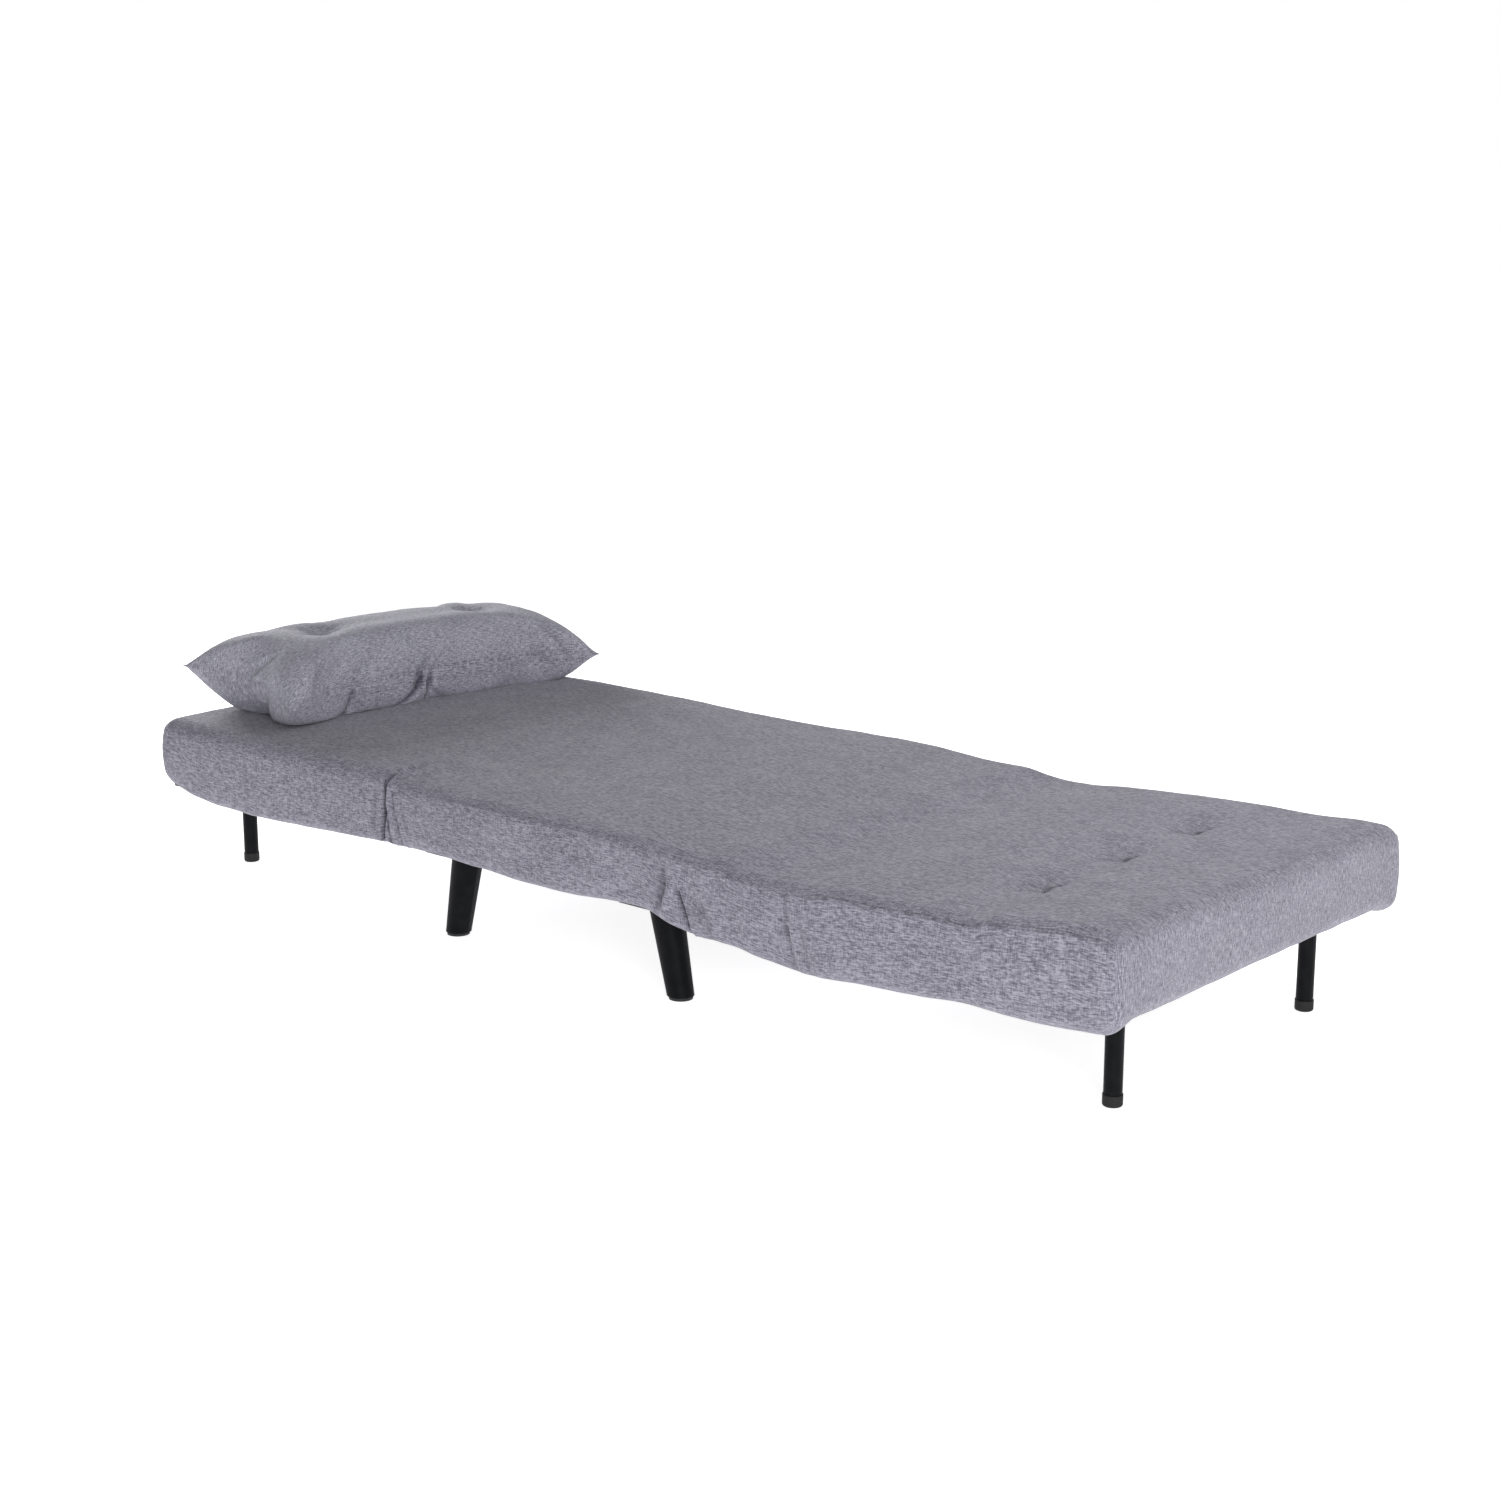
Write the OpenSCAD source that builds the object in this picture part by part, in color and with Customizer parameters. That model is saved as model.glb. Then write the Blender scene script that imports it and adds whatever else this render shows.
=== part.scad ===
// Fold-out chair bed with a loose pillow, opened flat as a single bed.
// X runs along the bed with the pillow end at -X, Y runs across it and Z is up from the floor.
// The middle section stands on four tapered legs. The front section turns over on top of it,
// the back section rises on ratchet hinges, and each has a tube leg frame that folds into it.

/* [Bed] */
// Overall length of the opened bed
bed_l = 1950; // [1620:10:2340]
// Width of the padding
bed_w = 742; // [650:2:900]
// Height of the underside cloth above the floor
under_z = 143.5; // [130:0.5:160]
// Height of the line that the front section turns about, level with the padding's top
flip_z = 256; // [240:1:310]
// Share of the length that the front section takes
front_share = 0.3026; // [0.27:0.0002:0.31]
// Share of the length that the back section takes
back_share = 0.3538; // [0.33:0.0002:0.38]

/* [Padding] */
// Thickness of the cover cloth with its lining
cloth = 2; // [1.5:0.5:3]
// Thickness of the cloth under the frame
dust_t = 1.5; // [1:0.5:2]
// Radius of the padding's upper edges
edge_r = 18; // [8:1:28]
// Gap between the two sections' facing ends at the front crease
crease_gap = 2; // [1:0.5:6]
// Length without foam between the seat's foam and the back's foam
gusset_l = 178; // [174:1:230]
// Distance from the seat's foam end to the recline pivot
gusset_lead = 23; // [21:1:30]
// Free space between a foam block and the cloth around it
ease = 0.2; // [0.1:0.1:0.5]
// Thickness of the foam border beside the frame
border_t = 5; // [2:0.5:5]

/* [Frame] */
// Outside width and height of the square steel tube
rail = 25; // [22:1:30]
// Wall of the square steel tube
rail_wall = 1.5; // [1.2:0.1:2.5]
// Distance from the padding's side to the side rail
rail_inset = 8.5; // [6:0.5:20]
// Gap between the underside cloth and the rails
rail_lift = 2.5; // [2.5:0.5:6]
// Width of a slat
slat_w = 50; // [40:1:60]
// Thickness of a slat
slat_t = 9; // [7:0.5:12]
// Widest distance between two slats' centre lines
slat_step = 122; // [90:1:150]

/* [Hinges] */
// Thickness of the hinge plates
plate_t = 4; // [3:0.5:5]
// Gap between two plates that turn on one pin
plate_gap = 0.5; // [0.3:0.1:1]
// Radial clearance of a turning pin
run_gap = 0.05; // [0.02:0.01:0.1]
// Radius of the front hinge's pin
flip_pin_r = 3; // [2.5:0.25:3.5]
// Radius of the front hinge's eyes
flip_eye_r = 5.5; // [5:0.25:6.5]
// Radius of the recline hinge's pin
recline_pin_r = 5; // [4:0.5:6]
// Radius of the recline hinge's toothed head
sector_r = 16; // [15:0.5:17]
// Rise of the recline pivot above the rails' centre line
recline_rise = 5; // [4:0.5:6]
// Full angle of the back section's recline
recline_angle = 78; // [60:1:80]
// Positions of the recline ratchet
recline_steps = 5; // [3:1:6]

/* [Tapered legs] */
// Distance between the tops of the front and back tapered legs
leg_span = 424; // [360:2:500]
// Distance from the padding's side to the tapered legs
leg_side = 68; // [62:1:110]
// Diameter at the top
leg_top_d = 51; // [40:1:60]
// Diameter at the foot
leg_foot_d = 40; // [28:1:46]
// Outward lean in degrees
leg_lean = 12.1; // [0:0.1:18]
// Height of the plastic glide
glide_h = 5; // [3:0.5:8]
// Diameter of the plastic glide
glide_d = 36; // [24:1:38]

/* [Folding legs] */
// Outside diameter of the leg tube
tube_d = 25; // [20:1:25]
// Wall of the leg tube
tube_wall = 1.5; // [1.2:0.1:2.5]
// Distance from the padding's side to the leg posts
post_side = 120; // [112:1:170]
// Distance from the end of the bed to the leg posts
post_inset = 75; // [70:1:110]
// Radius of the pivot pins
post_pin_r = 5; // [4:0.5:6]
// Outside diameter of the foot caps
cap_d = 27; // [26.5:0.5:27]
// Height of the foot caps
cap_h = 16; // [12:1:22]

/* [Tufts] */
// Distance from the recline pivot to the row of tufts
tuft_x = 472; // [462:1:482]
// Distance between tufts
tuft_step = 188; // [150:1:220]

/* [Pillow] */
// Length across the bed
pillow_l = 680; // [560:5:720]
// Width along the bed
pillow_w = 290; // [240:5:300]
// Full height of the lens shape before its underside is flattened
pillow_h = 164; // [130:2:180]
// Share of the lower half that stays after flattening
pillow_sink = 0.7; // [0.5:0.05:0.9]
// Sideways offset of the pillow's centre
pillow_y = 15; // [0:1:25]

/* [Hidden] */
$fn = 64;
half_l = bed_l / 2;
half_w = bed_w / 2;
leg_y = half_w - leg_side;
post_y = half_w - post_side;
front_l = bed_l * front_share;
back_l = bed_l * back_share;
flip_x = front_l - half_l;
recline_x = half_l - back_l;
// ends of the three padded lengths
front_x0 = -half_l;
front_x1 = flip_x - crease_gap / 2;
seat_x0 = flip_x + crease_gap / 2;
seat_x1 = recline_x - gusset_lead + cloth;
back_x0 = seat_x1 + gusset_l - cloth;
back_x1 = half_l;
pad_top = flip_z - 0.3;
// rails
rail_z0 = under_z + dust_t + rail_lift;
rail_z1 = rail_z0 + rail;
rail_zc = (rail_z0 + rail_z1) / 2;
rail_y1 = half_w - rail_inset;
rail_y0 = rail_y1 - rail;
rail_yc = (rail_y0 + rail_y1) / 2;
end_gap = 15;
// slats and holders
slat_z0 = rail_z1 + 2.5;
slat_z1 = slat_z0 + slat_t;
holder_z1 = slat_z1 + 2.5;
slat_end = rail_y1 - 6.5;
holder_lip = 3;
foam_z0 = holder_z1 + 0.5;
// hinge plates lie on the inner faces of the side rails
fixed_y0 = rail_y0 - plate_t;
moving_y0 = fixed_y0 - plate_gap - plate_t;
foot_z0 = rail_z0 + 3;
foot_z1 = rail_z1 - 3;
flip_near = 10;
flip_far = 22;
flip_foot = 70;
recline_z = rail_zc + recline_rise;
arm_far = 98;
spacer_lead = 27;
pawl_at = 30;
pawl_r = 4.5;
pawl_reach = 22;
notch_near = moving_y0 - 2;
notch_far = rail_y0 + 1.5;
notch_x = 25;
// bolts
bolt_r = 3;
bolt_hole_r = 3.2;
bolt_head_r = 6;
bolt_head_h = 3.5;
bolt_grip = 8;
// cross rail centres
leg_mid = (flip_x + recline_x) / 2;
leg_front_x = leg_mid - leg_span / 2;
leg_back_x = leg_mid + leg_span / 2;
end_rail = end_gap + rail / 2;
front_rails = [front_x0 + end_rail, (front_x0 + flip_x) / 2, flip_x - flip_foot - end_gap - rail / 2];
seat_rails = [leg_front_x, leg_mid, leg_back_x];
back_rails = [recline_x + arm_far + end_gap + rail / 2, (recline_x + back_x1) / 2 + 50, back_x1 - end_rail];
// slat ranges
front_slat_0 = front_x0 + 50;
front_slat_1 = flip_x - flip_far - slat_w / 2 - 8;
seat_slat_0 = flip_x + flip_far + slat_w / 2 + 13;
seat_slat_1 = seat_x1 - cloth - slat_w / 2 - 7;
back_slat_0 = recline_x + 75;
back_slat_1 = back_x1 - 50;
// tapered legs
plate_z0 = under_z + dust_t + 0.2;
stud_r = 4;
stud_hole_r = 4.2;
stud_depth = 30;
nut_h = 6.5;
nut_r = 7.5;
leg_hole_r = leg_top_d / 2 + 4;
leg_plate_x = 35;
leg_plate_y = 35;
// folding legs
post_x = half_l - post_inset;
pivot_z = rail_zc;
post_pad = 5;
tube_end = post_y + tube_d / 2;
bracket_y0 = tube_end + 1;
bracket_r = 12;
flange_y = 22;
bush_l = 18;
slot_half = tube_d / 2 + 5;
slot_lead = tube_d / 2 + 6;
slot_run = pivot_z + 6;
cap_round = 3;
// tufts
tuft_at = recline_x + tuft_x;
tuft_rows = [-1, 0, 1];
tie_r = 1.5;
button_r = 9;
button_h = 3;
washer_r = 14;
tuft_sink = 8;
// pillow
pillow_bottom = pad_top + 0.6;
pillow_half = pillow_h / 2;
pillow_zc = pillow_bottom + pillow_half * pillow_sink;
pillow_x = front_x0 + pillow_w / 2 + 2;
pillow_tie_step = 170;

// ---- shared shapes ----

// a block between two corners
module block(x0, x1, y0, y1, z0, z1) {
    translate([x0, y0, z0])
        cube([x1 - x0, y1 - y0, z1 - z0]);
}

// the same thing on both sides of the bed
module both_sides() {
    children();
    mirror([0, 1, 0])
        children();
}

// a flat shape drawn in X and Z, standing from y0 with thickness t
module upright(y0, t) {
    translate([0, y0 + t, 0])
        rotate([90, 0, 0])
            linear_extrude(t)
                children();
}

// a round bar along Y
module bar_y(x, z, y0, y1, r) {
    translate([x, y0, z])
        rotate([-90, 0, 0])
            cylinder(h = y1 - y0, r = r);
}

// a round bar along X
module bar_x(x0, x1, y, z, r) {
    translate([x0, y, z])
        rotate([0, 90, 0])
            cylinder(h = x1 - x0, r = r);
}

// an oblong with its two upper corners rounded by ra and rb
module crown(u0, u1, v0, v1, ra, rb) {
    translate([u0, v0])
        square([u1 - u0, v1 - v0 - max(ra, rb)]);
    translate([u0 + ra, v0])
        square([u1 - u0 - ra - rb, v1 - v0]);
    if (ra > 0)
        translate([u0 + ra, v1 - ra])
            circle(ra);
    if (rb > 0)
        translate([u1 - rb, v1 - rb])
            circle(rb);
}

// a padded length with rounded long edges, and one rounded end where round_end is -1 or 1
module pad(x0, x1, half, z0, z1, r, round_end) {
    intersection() {
        translate([x0, 0, 0])
            rotate([90, 0, 90])
                linear_extrude(x1 - x0)
                    crown(-half, half, z0, z1, r, r);
        upright(-half - 1, 2 * half + 2)
            crown(x0, x1, z0, z1, round_end < 0 ? r : 0, round_end > 0 ? r : 0);
    }
}

// slots through the padding for one flip hinge arm, dir is 1 towards the seat
module flip_notch(dir) {
    both_sides()
        block(
            min(flip_x - dir * 8, flip_x + dir * notch_x), max(flip_x - dir * 8, flip_x + dir * notch_x),
            notch_near, notch_far, rail_z0 - 0.1, flip_z + 10);
}

module cover(x0, x1, round_end) {
    difference() {
        pad(x0, x1, half_w, under_z, pad_top, edge_r, round_end);
        pad(x0 + cloth, x1 - cloth, half_w - cloth, under_z - 1, pad_top - cloth, edge_r - cloth, round_end);
    }
}

// foam block over the frame, with separate thin strips of foam down the frame's outer sides
module foam(x0, x1, round_end) {
    skin = cloth + ease;
    strip_z0 = rail_z0 - 0.5;
    strip_z1 = foam_z0 - 0.1;
    side_y = half_w - skin - border_t;
    pad(x0 + skin, x1 - skin, half_w - skin, foam_z0, pad_top - skin, edge_r - skin, round_end);
    both_sides()
        block(x0 + skin, x1 - skin, side_y, half_w - skin, strip_z0, strip_z1);
    if (round_end < 0)
        block(x0 + skin, x0 + skin + border_t, 0.1 - side_y, side_y - 0.1, strip_z0, strip_z1);
    if (round_end > 0)
        block(x1 - skin - border_t, x1 - skin, 0.1 - side_y, side_y - 0.1, strip_z0, strip_z1);
}

module dust_cloth(x0, x1) {
    skin = cloth + ease;
    block(x0 + skin, x1 - skin, skin - half_w, half_w - skin, under_z, under_z + dust_t);
}

// square tube along the bed, on both sides, with bolt holes in its inner wall
module side_rails(x0, x1, bolts) {
    both_sides()
        difference() {
            block(x0, x1, rail_y0, rail_y1, rail_z0, rail_z1);
            block(
                x0 - 1, x1 + 1, rail_y0 + rail_wall, rail_y1 - rail_wall,
                rail_z0 + rail_wall, rail_z1 - rail_wall);
            for (x = bolts)
                bar_y(x, rail_zc, rail_y0 - 1, rail_yc, bolt_hole_r);
        }
}

// square tube across the bed, between the side rails
module cross_tube(x) {
    difference() {
        block(x - rail / 2, x + rail / 2, -rail_y0, rail_y0, rail_z0, rail_z1);
        block(
            x - rail / 2 + rail_wall, x + rail / 2 - rail_wall, -rail_y0 - 1, rail_y0 + 1,
            rail_z0 + rail_wall, rail_z1 - rail_wall);
    }
}

// cross tube that also takes a bracket bolt on each side, dir is the way the bracket lies
module end_tube(x, dir) {
    difference() {
        cross_tube(x);
        both_sides()
            bar_x(
                min(x, x + dir * rail), max(x, x + dir * rail),
                bracket_y0 + plate_t + flange_y / 2, rail_zc, bolt_hole_r);
    }
}

function slat_count(x0, x1) = ceil((x1 - x0) / slat_step) + 1;
function slat_at(x0, x1, i) = x0 + (x1 - x0) * i / (slat_count(x0, x1) - 1);

module slats(x0, x1) {
    for (i = [0 : slat_count(x0, x1) - 1])
        block(
            slat_at(x0, x1, i) - slat_w / 2, slat_at(x0, x1, i) + slat_w / 2,
            -slat_end, slat_end, slat_z0, slat_z1);
}

module slat_holders(x0, x1) {
    both_sides()
        for (i = [0 : slat_count(x0, x1) - 1])
            translate([slat_at(x0, x1, i), 0, 0])
                difference() {
                    block(
                        -slat_w / 2 - holder_lip, slat_w / 2 + holder_lip,
                        rail_y0 + 0.5, rail_y1, rail_z1, holder_z1);
                    block(-slat_w / 2, slat_w / 2, 0, slat_end, slat_z0, slat_z1);
                }
}

// hex bolt through a plate into a side rail's inner wall, its head under the plate at y
module rail_bolt(x, y) {
    bar_y(x, rail_zc, y, rail_y0 + bolt_grip, bolt_r);
    translate([x, y, rail_zc])
        rotate([90, 0, 0])
            cylinder(h = bolt_head_h, r = bolt_head_r, $fn = 6);
}

// ---- front hinge ----

// arm of the front hinge, drawn about the hinge line, lying towards +X
module flip_outline() {
    difference() {
        union() {
            circle(flip_eye_r);
            polygon([
                [0, -flip_eye_r], [flip_near, -20], [flip_far, -20], [flip_far, -11], [5, -1.5]
            ]);
            translate([flip_near, foot_z0 - flip_z])
                square([flip_far - flip_near, flip_z - 15 - foot_z0]);
            translate([flip_near, foot_z0 - flip_z])
                square([flip_foot - flip_near, foot_z1 - foot_z0]);
        }
        for (x = [flip_near + 25, flip_foot - 12])
            translate([x, rail_zc - flip_z])
                circle(bolt_hole_r);
    }
}

// ---- recline hinge ----

// head of the fixed plate, with one notch for each recline position
module sector_outline() {
    difference() {
        circle(sector_r);
        for (i = [0 : recline_steps - 1])
            rotate(pawl_at + recline_angle * i / (recline_steps - 1))
                translate([sector_r - 2.5, -1.5])
                    square([5, 3]);
    }
}

module recline_fixed_outline() {
    difference() {
        union() {
            sector_outline();
            translate([-95, foot_z0 - recline_z])
                square([87, foot_z1 - foot_z0]);
        }
        circle(recline_pin_r);
        for (x = [-80, -45])
            translate([x, -recline_rise])
                circle(bolt_hole_r);
    }
}

module recline_moving_outline() {
    difference() {
        union() {
            circle(sector_r - 2);
            translate([0, foot_z0 - recline_z])
                square([arm_far, foot_z1 - foot_z0]);
            rotate(pawl_at)
                translate([0, -7])
                    square([pawl_reach + 3, 14]);
            rotate(pawl_at)
                translate([pawl_reach + 3, 0])
                    circle(7);
        }
        circle(recline_pin_r + run_gap);
        for (x = [48, arm_far - 15])
            translate([x, -recline_rise])
                circle(bolt_hole_r);
    }
}

// ---- folding legs, drawn for the +X end ----

module leg_tube() {
    difference() {
        bar_y(post_x, pivot_z, -tube_end, tube_end, tube_d / 2);
        bar_y(post_x, pivot_z, -tube_end - 1, tube_end + 1, tube_d / 2 - tube_wall);
    }
}

module leg_posts() {
    both_sides()
        difference() {
            translate([post_x, post_y, post_pad])
                cylinder(h = pivot_z - post_pad, r = tube_d / 2);
            translate([post_x, post_y, 0])
                cylinder(h = pivot_z + tube_d, r = tube_d / 2 - tube_wall);
            bar_y(post_x, pivot_z, 0, half_w, tube_d / 2);
        }
}

module leg_bushes() {
    both_sides()
        difference() {
            bar_y(post_x, pivot_z, tube_end - bush_l, tube_end + 0.5, tube_d / 2 - tube_wall);
            bar_y(post_x, pivot_z, 0, half_w, post_pin_r + run_gap);
        }
}

// rubber foot with a rounded rim, on the end of each post
module leg_caps() {
    both_sides()
        translate([post_x, post_y, 0])
            difference() {
                union() {
                    cylinder(h = cap_h, r = cap_d / 2 - cap_round);
                    translate([0, 0, cap_round])
                        cylinder(h = cap_h - cap_round, r = cap_d / 2);
                    rotate_extrude()
                        translate([cap_d / 2 - cap_round, cap_round])
                            circle(cap_round, $fn = 32);
                }
                translate([0, 0, post_pad])
                    cylinder(h = cap_h, r = tube_d / 2);
            }
}

// cheek beside the tube's end with a flange bolted to the end tube
module leg_brackets() {
    inner_x = half_l - end_gap - rail;
    both_sides() {
        difference() {
            upright(bracket_y0, plate_t) {
                translate([post_x, pivot_z])
                    circle(bracket_r);
                translate([post_x, pivot_z - bracket_r])
                    square([inner_x - post_x, 2 * bracket_r]);
            }
            bar_y(post_x, pivot_z, 0, half_w, post_pin_r);
        }
        difference() {
            block(
                inner_x - plate_t, inner_x, bracket_y0 + plate_t - 0.5, bracket_y0 + plate_t + flange_y,
                pivot_z - bracket_r, pivot_z + bracket_r);
            bar_x(0, half_l, bracket_y0 + plate_t + flange_y / 2, pivot_z, bolt_hole_r);
        }
    }
}

module leg_pins() {
    both_sides() {
        bar_y(post_x, pivot_z, tube_end - bush_l + 1, bracket_y0 + plate_t, post_pin_r);
        bar_y(post_x, pivot_z, bracket_y0 + plate_t, bracket_y0 + plate_t + 3.5, post_pin_r + 3);
    }
}

module bracket_bolts() {
    inner_x = half_l - end_gap - rail;
    bolt_y = bracket_y0 + plate_t + flange_y / 2;
    both_sides() {
        bar_x(inner_x - plate_t, inner_x + bolt_grip, bolt_y, pivot_z, bolt_r);
        translate([inner_x - plate_t, bolt_y, pivot_z])
            rotate([0, -90, 0])
                cylinder(h = bolt_head_h, r = bolt_head_r, $fn = 6);
    }
}

// channels that the folded posts lie in, drawn for the +X end
module post_slots(z0, z1) {
    both_sides()
        block(post_x - slot_run, post_x + slot_lead, post_y - slot_half, post_y + slot_half, z0, z1);
}

module to_front() {
    mirror([1, 0, 0])
        children();
}

// ---- seat ----

module seat_side_rails() {
    color("dimgray")
        side_rails(
            flip_x + 13, recline_x - end_gap,
            [
                flip_x + flip_near + 25, flip_x + flip_foot - 12,
                recline_x - 80, recline_x - 45
            ]);
}

module seat_cross_rails() {
    color("dimgray")
        for (x = seat_rails)
            difference() {
                cross_tube(x);
                if (x != leg_mid)
                    both_sides()
                        translate([x, leg_y, rail_z0 - 1])
                            cylinder(h = rail_wall + 2, r = stud_hole_r);
            }
}

module seat_slats() {
    color("burlywood")
        slats(seat_slat_0, seat_slat_1);
}

module seat_slat_holders() {
    color("black")
        slat_holders(seat_slat_0, seat_slat_1);
}

module seat_foam() {
    color("ivory")
        difference() {
            foam(seat_x0, seat_x1, 0);
            flip_notch(1);
        }
}

// the end wall towards the back stops above the recline hinges
module seat_cover() {
    color("silver")
        difference() {
            cover(seat_x0, seat_x1, 0);
            flip_notch(1);
            block(seat_x1 - cloth - 1, seat_x1 + 1, cloth - half_w, half_w - cloth, 0, foam_z0);
        }
}

module seat_dust_cloth() {
    color("black")
        difference() {
            dust_cloth(seat_x0, seat_x1);
            for (x = [leg_front_x, leg_back_x])
                both_sides()
                    translate([x, leg_y, 0])
                        cylinder(h = flip_z, r = leg_hole_r);
        }
}

// one tapered leg with its top at x, leaning towards -X where dir is 1
module tapered_leg(x, dir) {
    run = plate_z0 / cos(leg_lean);
    over = 15;
    flare = (leg_top_d - leg_foot_d) / run * over;
    difference() {
        intersection() {
            translate([x, leg_y, plate_z0])
                rotate([0, dir * leg_lean, 0])
                    translate([0, 0, -run - over])
                        cylinder(h = run + 2 * over, d1 = leg_foot_d - flare, d2 = leg_top_d + flare);
            block(x - bed_w, x + bed_w, 0, half_w, glide_h, plate_z0);
        }
        translate([x, leg_y, plate_z0 - stud_depth])
            cylinder(h = stud_depth + 1, r = stud_r);
    }
}

module tapered_legs() {
    color([0.1, 0.1, 0.11])
        both_sides() {
            tapered_leg(leg_front_x, 1);
            tapered_leg(leg_back_x, -1);
        }
}

module leg_glides() {
    shift = (plate_z0 - glide_h / 2) * tan(leg_lean);
    color("black")
        both_sides()
            for (x = [leg_front_x - shift, leg_back_x + shift])
                translate([x, leg_y, 0])
                    cylinder(h = glide_h, d = glide_d);
}

module leg_studs() {
    color("silver")
        both_sides()
            for (x = [leg_front_x, leg_back_x])
                translate([x, leg_y, plate_z0 - stud_depth])
                    cylinder(h = stud_depth + rail_z0 - plate_z0 + rail_wall + nut_h, r = stud_r);
}

module leg_nuts() {
    color("silver")
        both_sides()
            for (x = [leg_front_x, leg_back_x])
                translate([x, leg_y, rail_z0 + rail_wall])
                    difference() {
                        cylinder(h = nut_h, r = nut_r, $fn = 6);
                        translate([0, 0, -1])
                            cylinder(h = nut_h + 2, r = stud_r);
                    }
}

module leg_plates() {
    color("dimgray")
        both_sides()
            for (x = [leg_front_x, leg_back_x])
                difference() {
                    block(x - leg_plate_x, x + leg_plate_x, leg_y - leg_plate_y, rail_y1, plate_z0, rail_z0);
                    translate([x, leg_y, 0])
                        cylinder(h = flip_z, r = stud_hole_r);
                    for (side = [-1, 1])
                        translate([x + side * 25, rail_yc, 0])
                            cylinder(h = flip_z, r = 2.6);
                }
}

// screws from below through each plate into the side rail
module leg_plate_screws() {
    color("silver")
        both_sides()
            for (x = [leg_front_x, leg_back_x])
                for (side = [-1, 1])
                    translate([x + side * 25, rail_yc, plate_z0])
                        cylinder(h = rail_z0 - plate_z0, r = 2.5);
}

module flip_fixed_arms() {
    color("gray")
        both_sides()
            difference() {
                upright(fixed_y0, plate_t)
                    translate([flip_x, flip_z])
                        flip_outline();
                bar_y(flip_x, flip_z, 0, half_w, flip_pin_r);
            }
}

module flip_pins() {
    color("silver")
        both_sides() {
            bar_y(flip_x, flip_z, moving_y0 - 0.4, fixed_y0 + plate_t, flip_pin_r);
            bar_y(flip_x, flip_z, moving_y0 - 1.6, moving_y0 - 0.4, flip_eye_r - 0.5);
        }
}

module recline_fixed_plates() {
    color("gray")
        both_sides()
            upright(fixed_y0, plate_t)
                translate([recline_x, recline_z])
                    recline_fixed_outline();
}

module recline_pins() {
    color("silver")
        both_sides() {
            bar_y(recline_x, recline_z, moving_y0 - 0.5, fixed_y0 + plate_t, recline_pin_r);
            bar_y(recline_x, recline_z, moving_y0 - 3.5, moving_y0 - 0.5, recline_pin_r + 3);
        }
}

module seat_hinge_bolts() {
    color("silver")
        both_sides()
            for (x = [
                flip_x + flip_near + 25, flip_x + flip_foot - 12,
                recline_x - 80, recline_x - 45
            ])
                rail_bolt(x, fixed_y0);
}

// ---- front section ----

module front_side_rails() {
    color("dimgray")
        side_rails(
            front_x0 + end_gap, flip_x - 13,
            [flip_x - flip_near - 25, flip_x - flip_foot + 12]);
}

module front_cross_rails() {
    color("dimgray") {
        end_tube(front_rails[0], 1);
        cross_tube(front_rails[1]);
        cross_tube(front_rails[2]);
    }
}

module front_slats() {
    color("burlywood")
        slats(front_slat_0, front_slat_1);
}

module front_slat_holders() {
    color("black")
        slat_holders(front_slat_0, front_slat_1);
}

module front_foam() {
    color("ivory")
        difference() {
            foam(front_x0, front_x1, -1);
            flip_notch(-1);
        }
}

// thin pad between the rails, which is the sitting side when the section is turned over
module front_under_pad() {
    skin = 0.5;
    color("ivory")
        difference() {
            block(
                front_x0 + post_inset + tube_d, front_rails[2] - rail / 2 - skin,
                2 - rail_y0, rail_y0 - 2, rail_z0 + skin, rail_z1 - skin);
            block(
                front_rails[1] - rail / 2 - skin, front_rails[1] + rail / 2 + skin,
                -half_w, half_w, 0, flip_z);
            to_front()
                post_slots(0, flip_z);
        }
}

module front_cover() {
    color("silver")
        difference() {
            cover(front_x0, front_x1, -1);
            flip_notch(-1);
        }
}

module front_dust_cloth() {
    color("silver")
        difference() {
            dust_cloth(front_x0, front_x1);
            to_front()
                post_slots(0, flip_z);
        }
}

module flip_moving_arms() {
    color("gray")
        both_sides()
            difference() {
                upright(moving_y0, plate_t)
                    translate([flip_x, flip_z])
                        mirror([1, 0])
                            flip_outline();
                bar_y(flip_x, flip_z, 0, half_w, flip_pin_r + run_gap);
            }
}

// blocks that carry the moving arms clear of the fixed ones
module flip_spacers() {
    color("dimgray")
        both_sides()
            difference() {
                block(
                    flip_x - flip_foot, flip_x - flip_far, moving_y0 + plate_t, rail_y0,
                    foot_z0, foot_z1);
                for (x = [flip_x - flip_near - 25, flip_x - flip_foot + 12])
                    bar_y(x, rail_zc, 0, half_w, bolt_hole_r);
            }
}

module front_leg_brackets() {
    color("gray")
        to_front()
            leg_brackets();
}

module front_leg_pins() {
    color("silver")
        to_front()
            leg_pins();
}

module front_bolts() {
    color("silver") {
        both_sides()
            for (x = [flip_x - flip_near - 25, flip_x - flip_foot + 12])
                rail_bolt(x, moving_y0);
        to_front()
            bracket_bolts();
    }
}

module front_leg_tube() {
    color([0.1, 0.1, 0.11])
        to_front()
            leg_tube();
}

module front_leg_posts() {
    color([0.1, 0.1, 0.11])
        to_front()
            leg_posts();
}

module front_leg_bushes() {
    color("white")
        to_front()
            leg_bushes();
}

module front_leg_caps() {
    color("black")
        to_front()
            leg_caps();
}

// ---- back section ----

module back_side_rails() {
    color("dimgray")
        side_rails(
            recline_x + end_gap, back_x1 - end_gap,
            [recline_x + 48, recline_x + arm_far - 15]);
}

module back_cross_rails() {
    color("dimgray") {
        cross_tube(back_rails[0]);
        cross_tube(back_rails[1]);
        end_tube(back_rails[2], -1);
    }
}

module back_slats() {
    color("burlywood")
        slats(back_slat_0, back_slat_1);
}

module back_slat_holders() {
    color("black")
        slat_holders(back_slat_0, back_slat_1);
}

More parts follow.
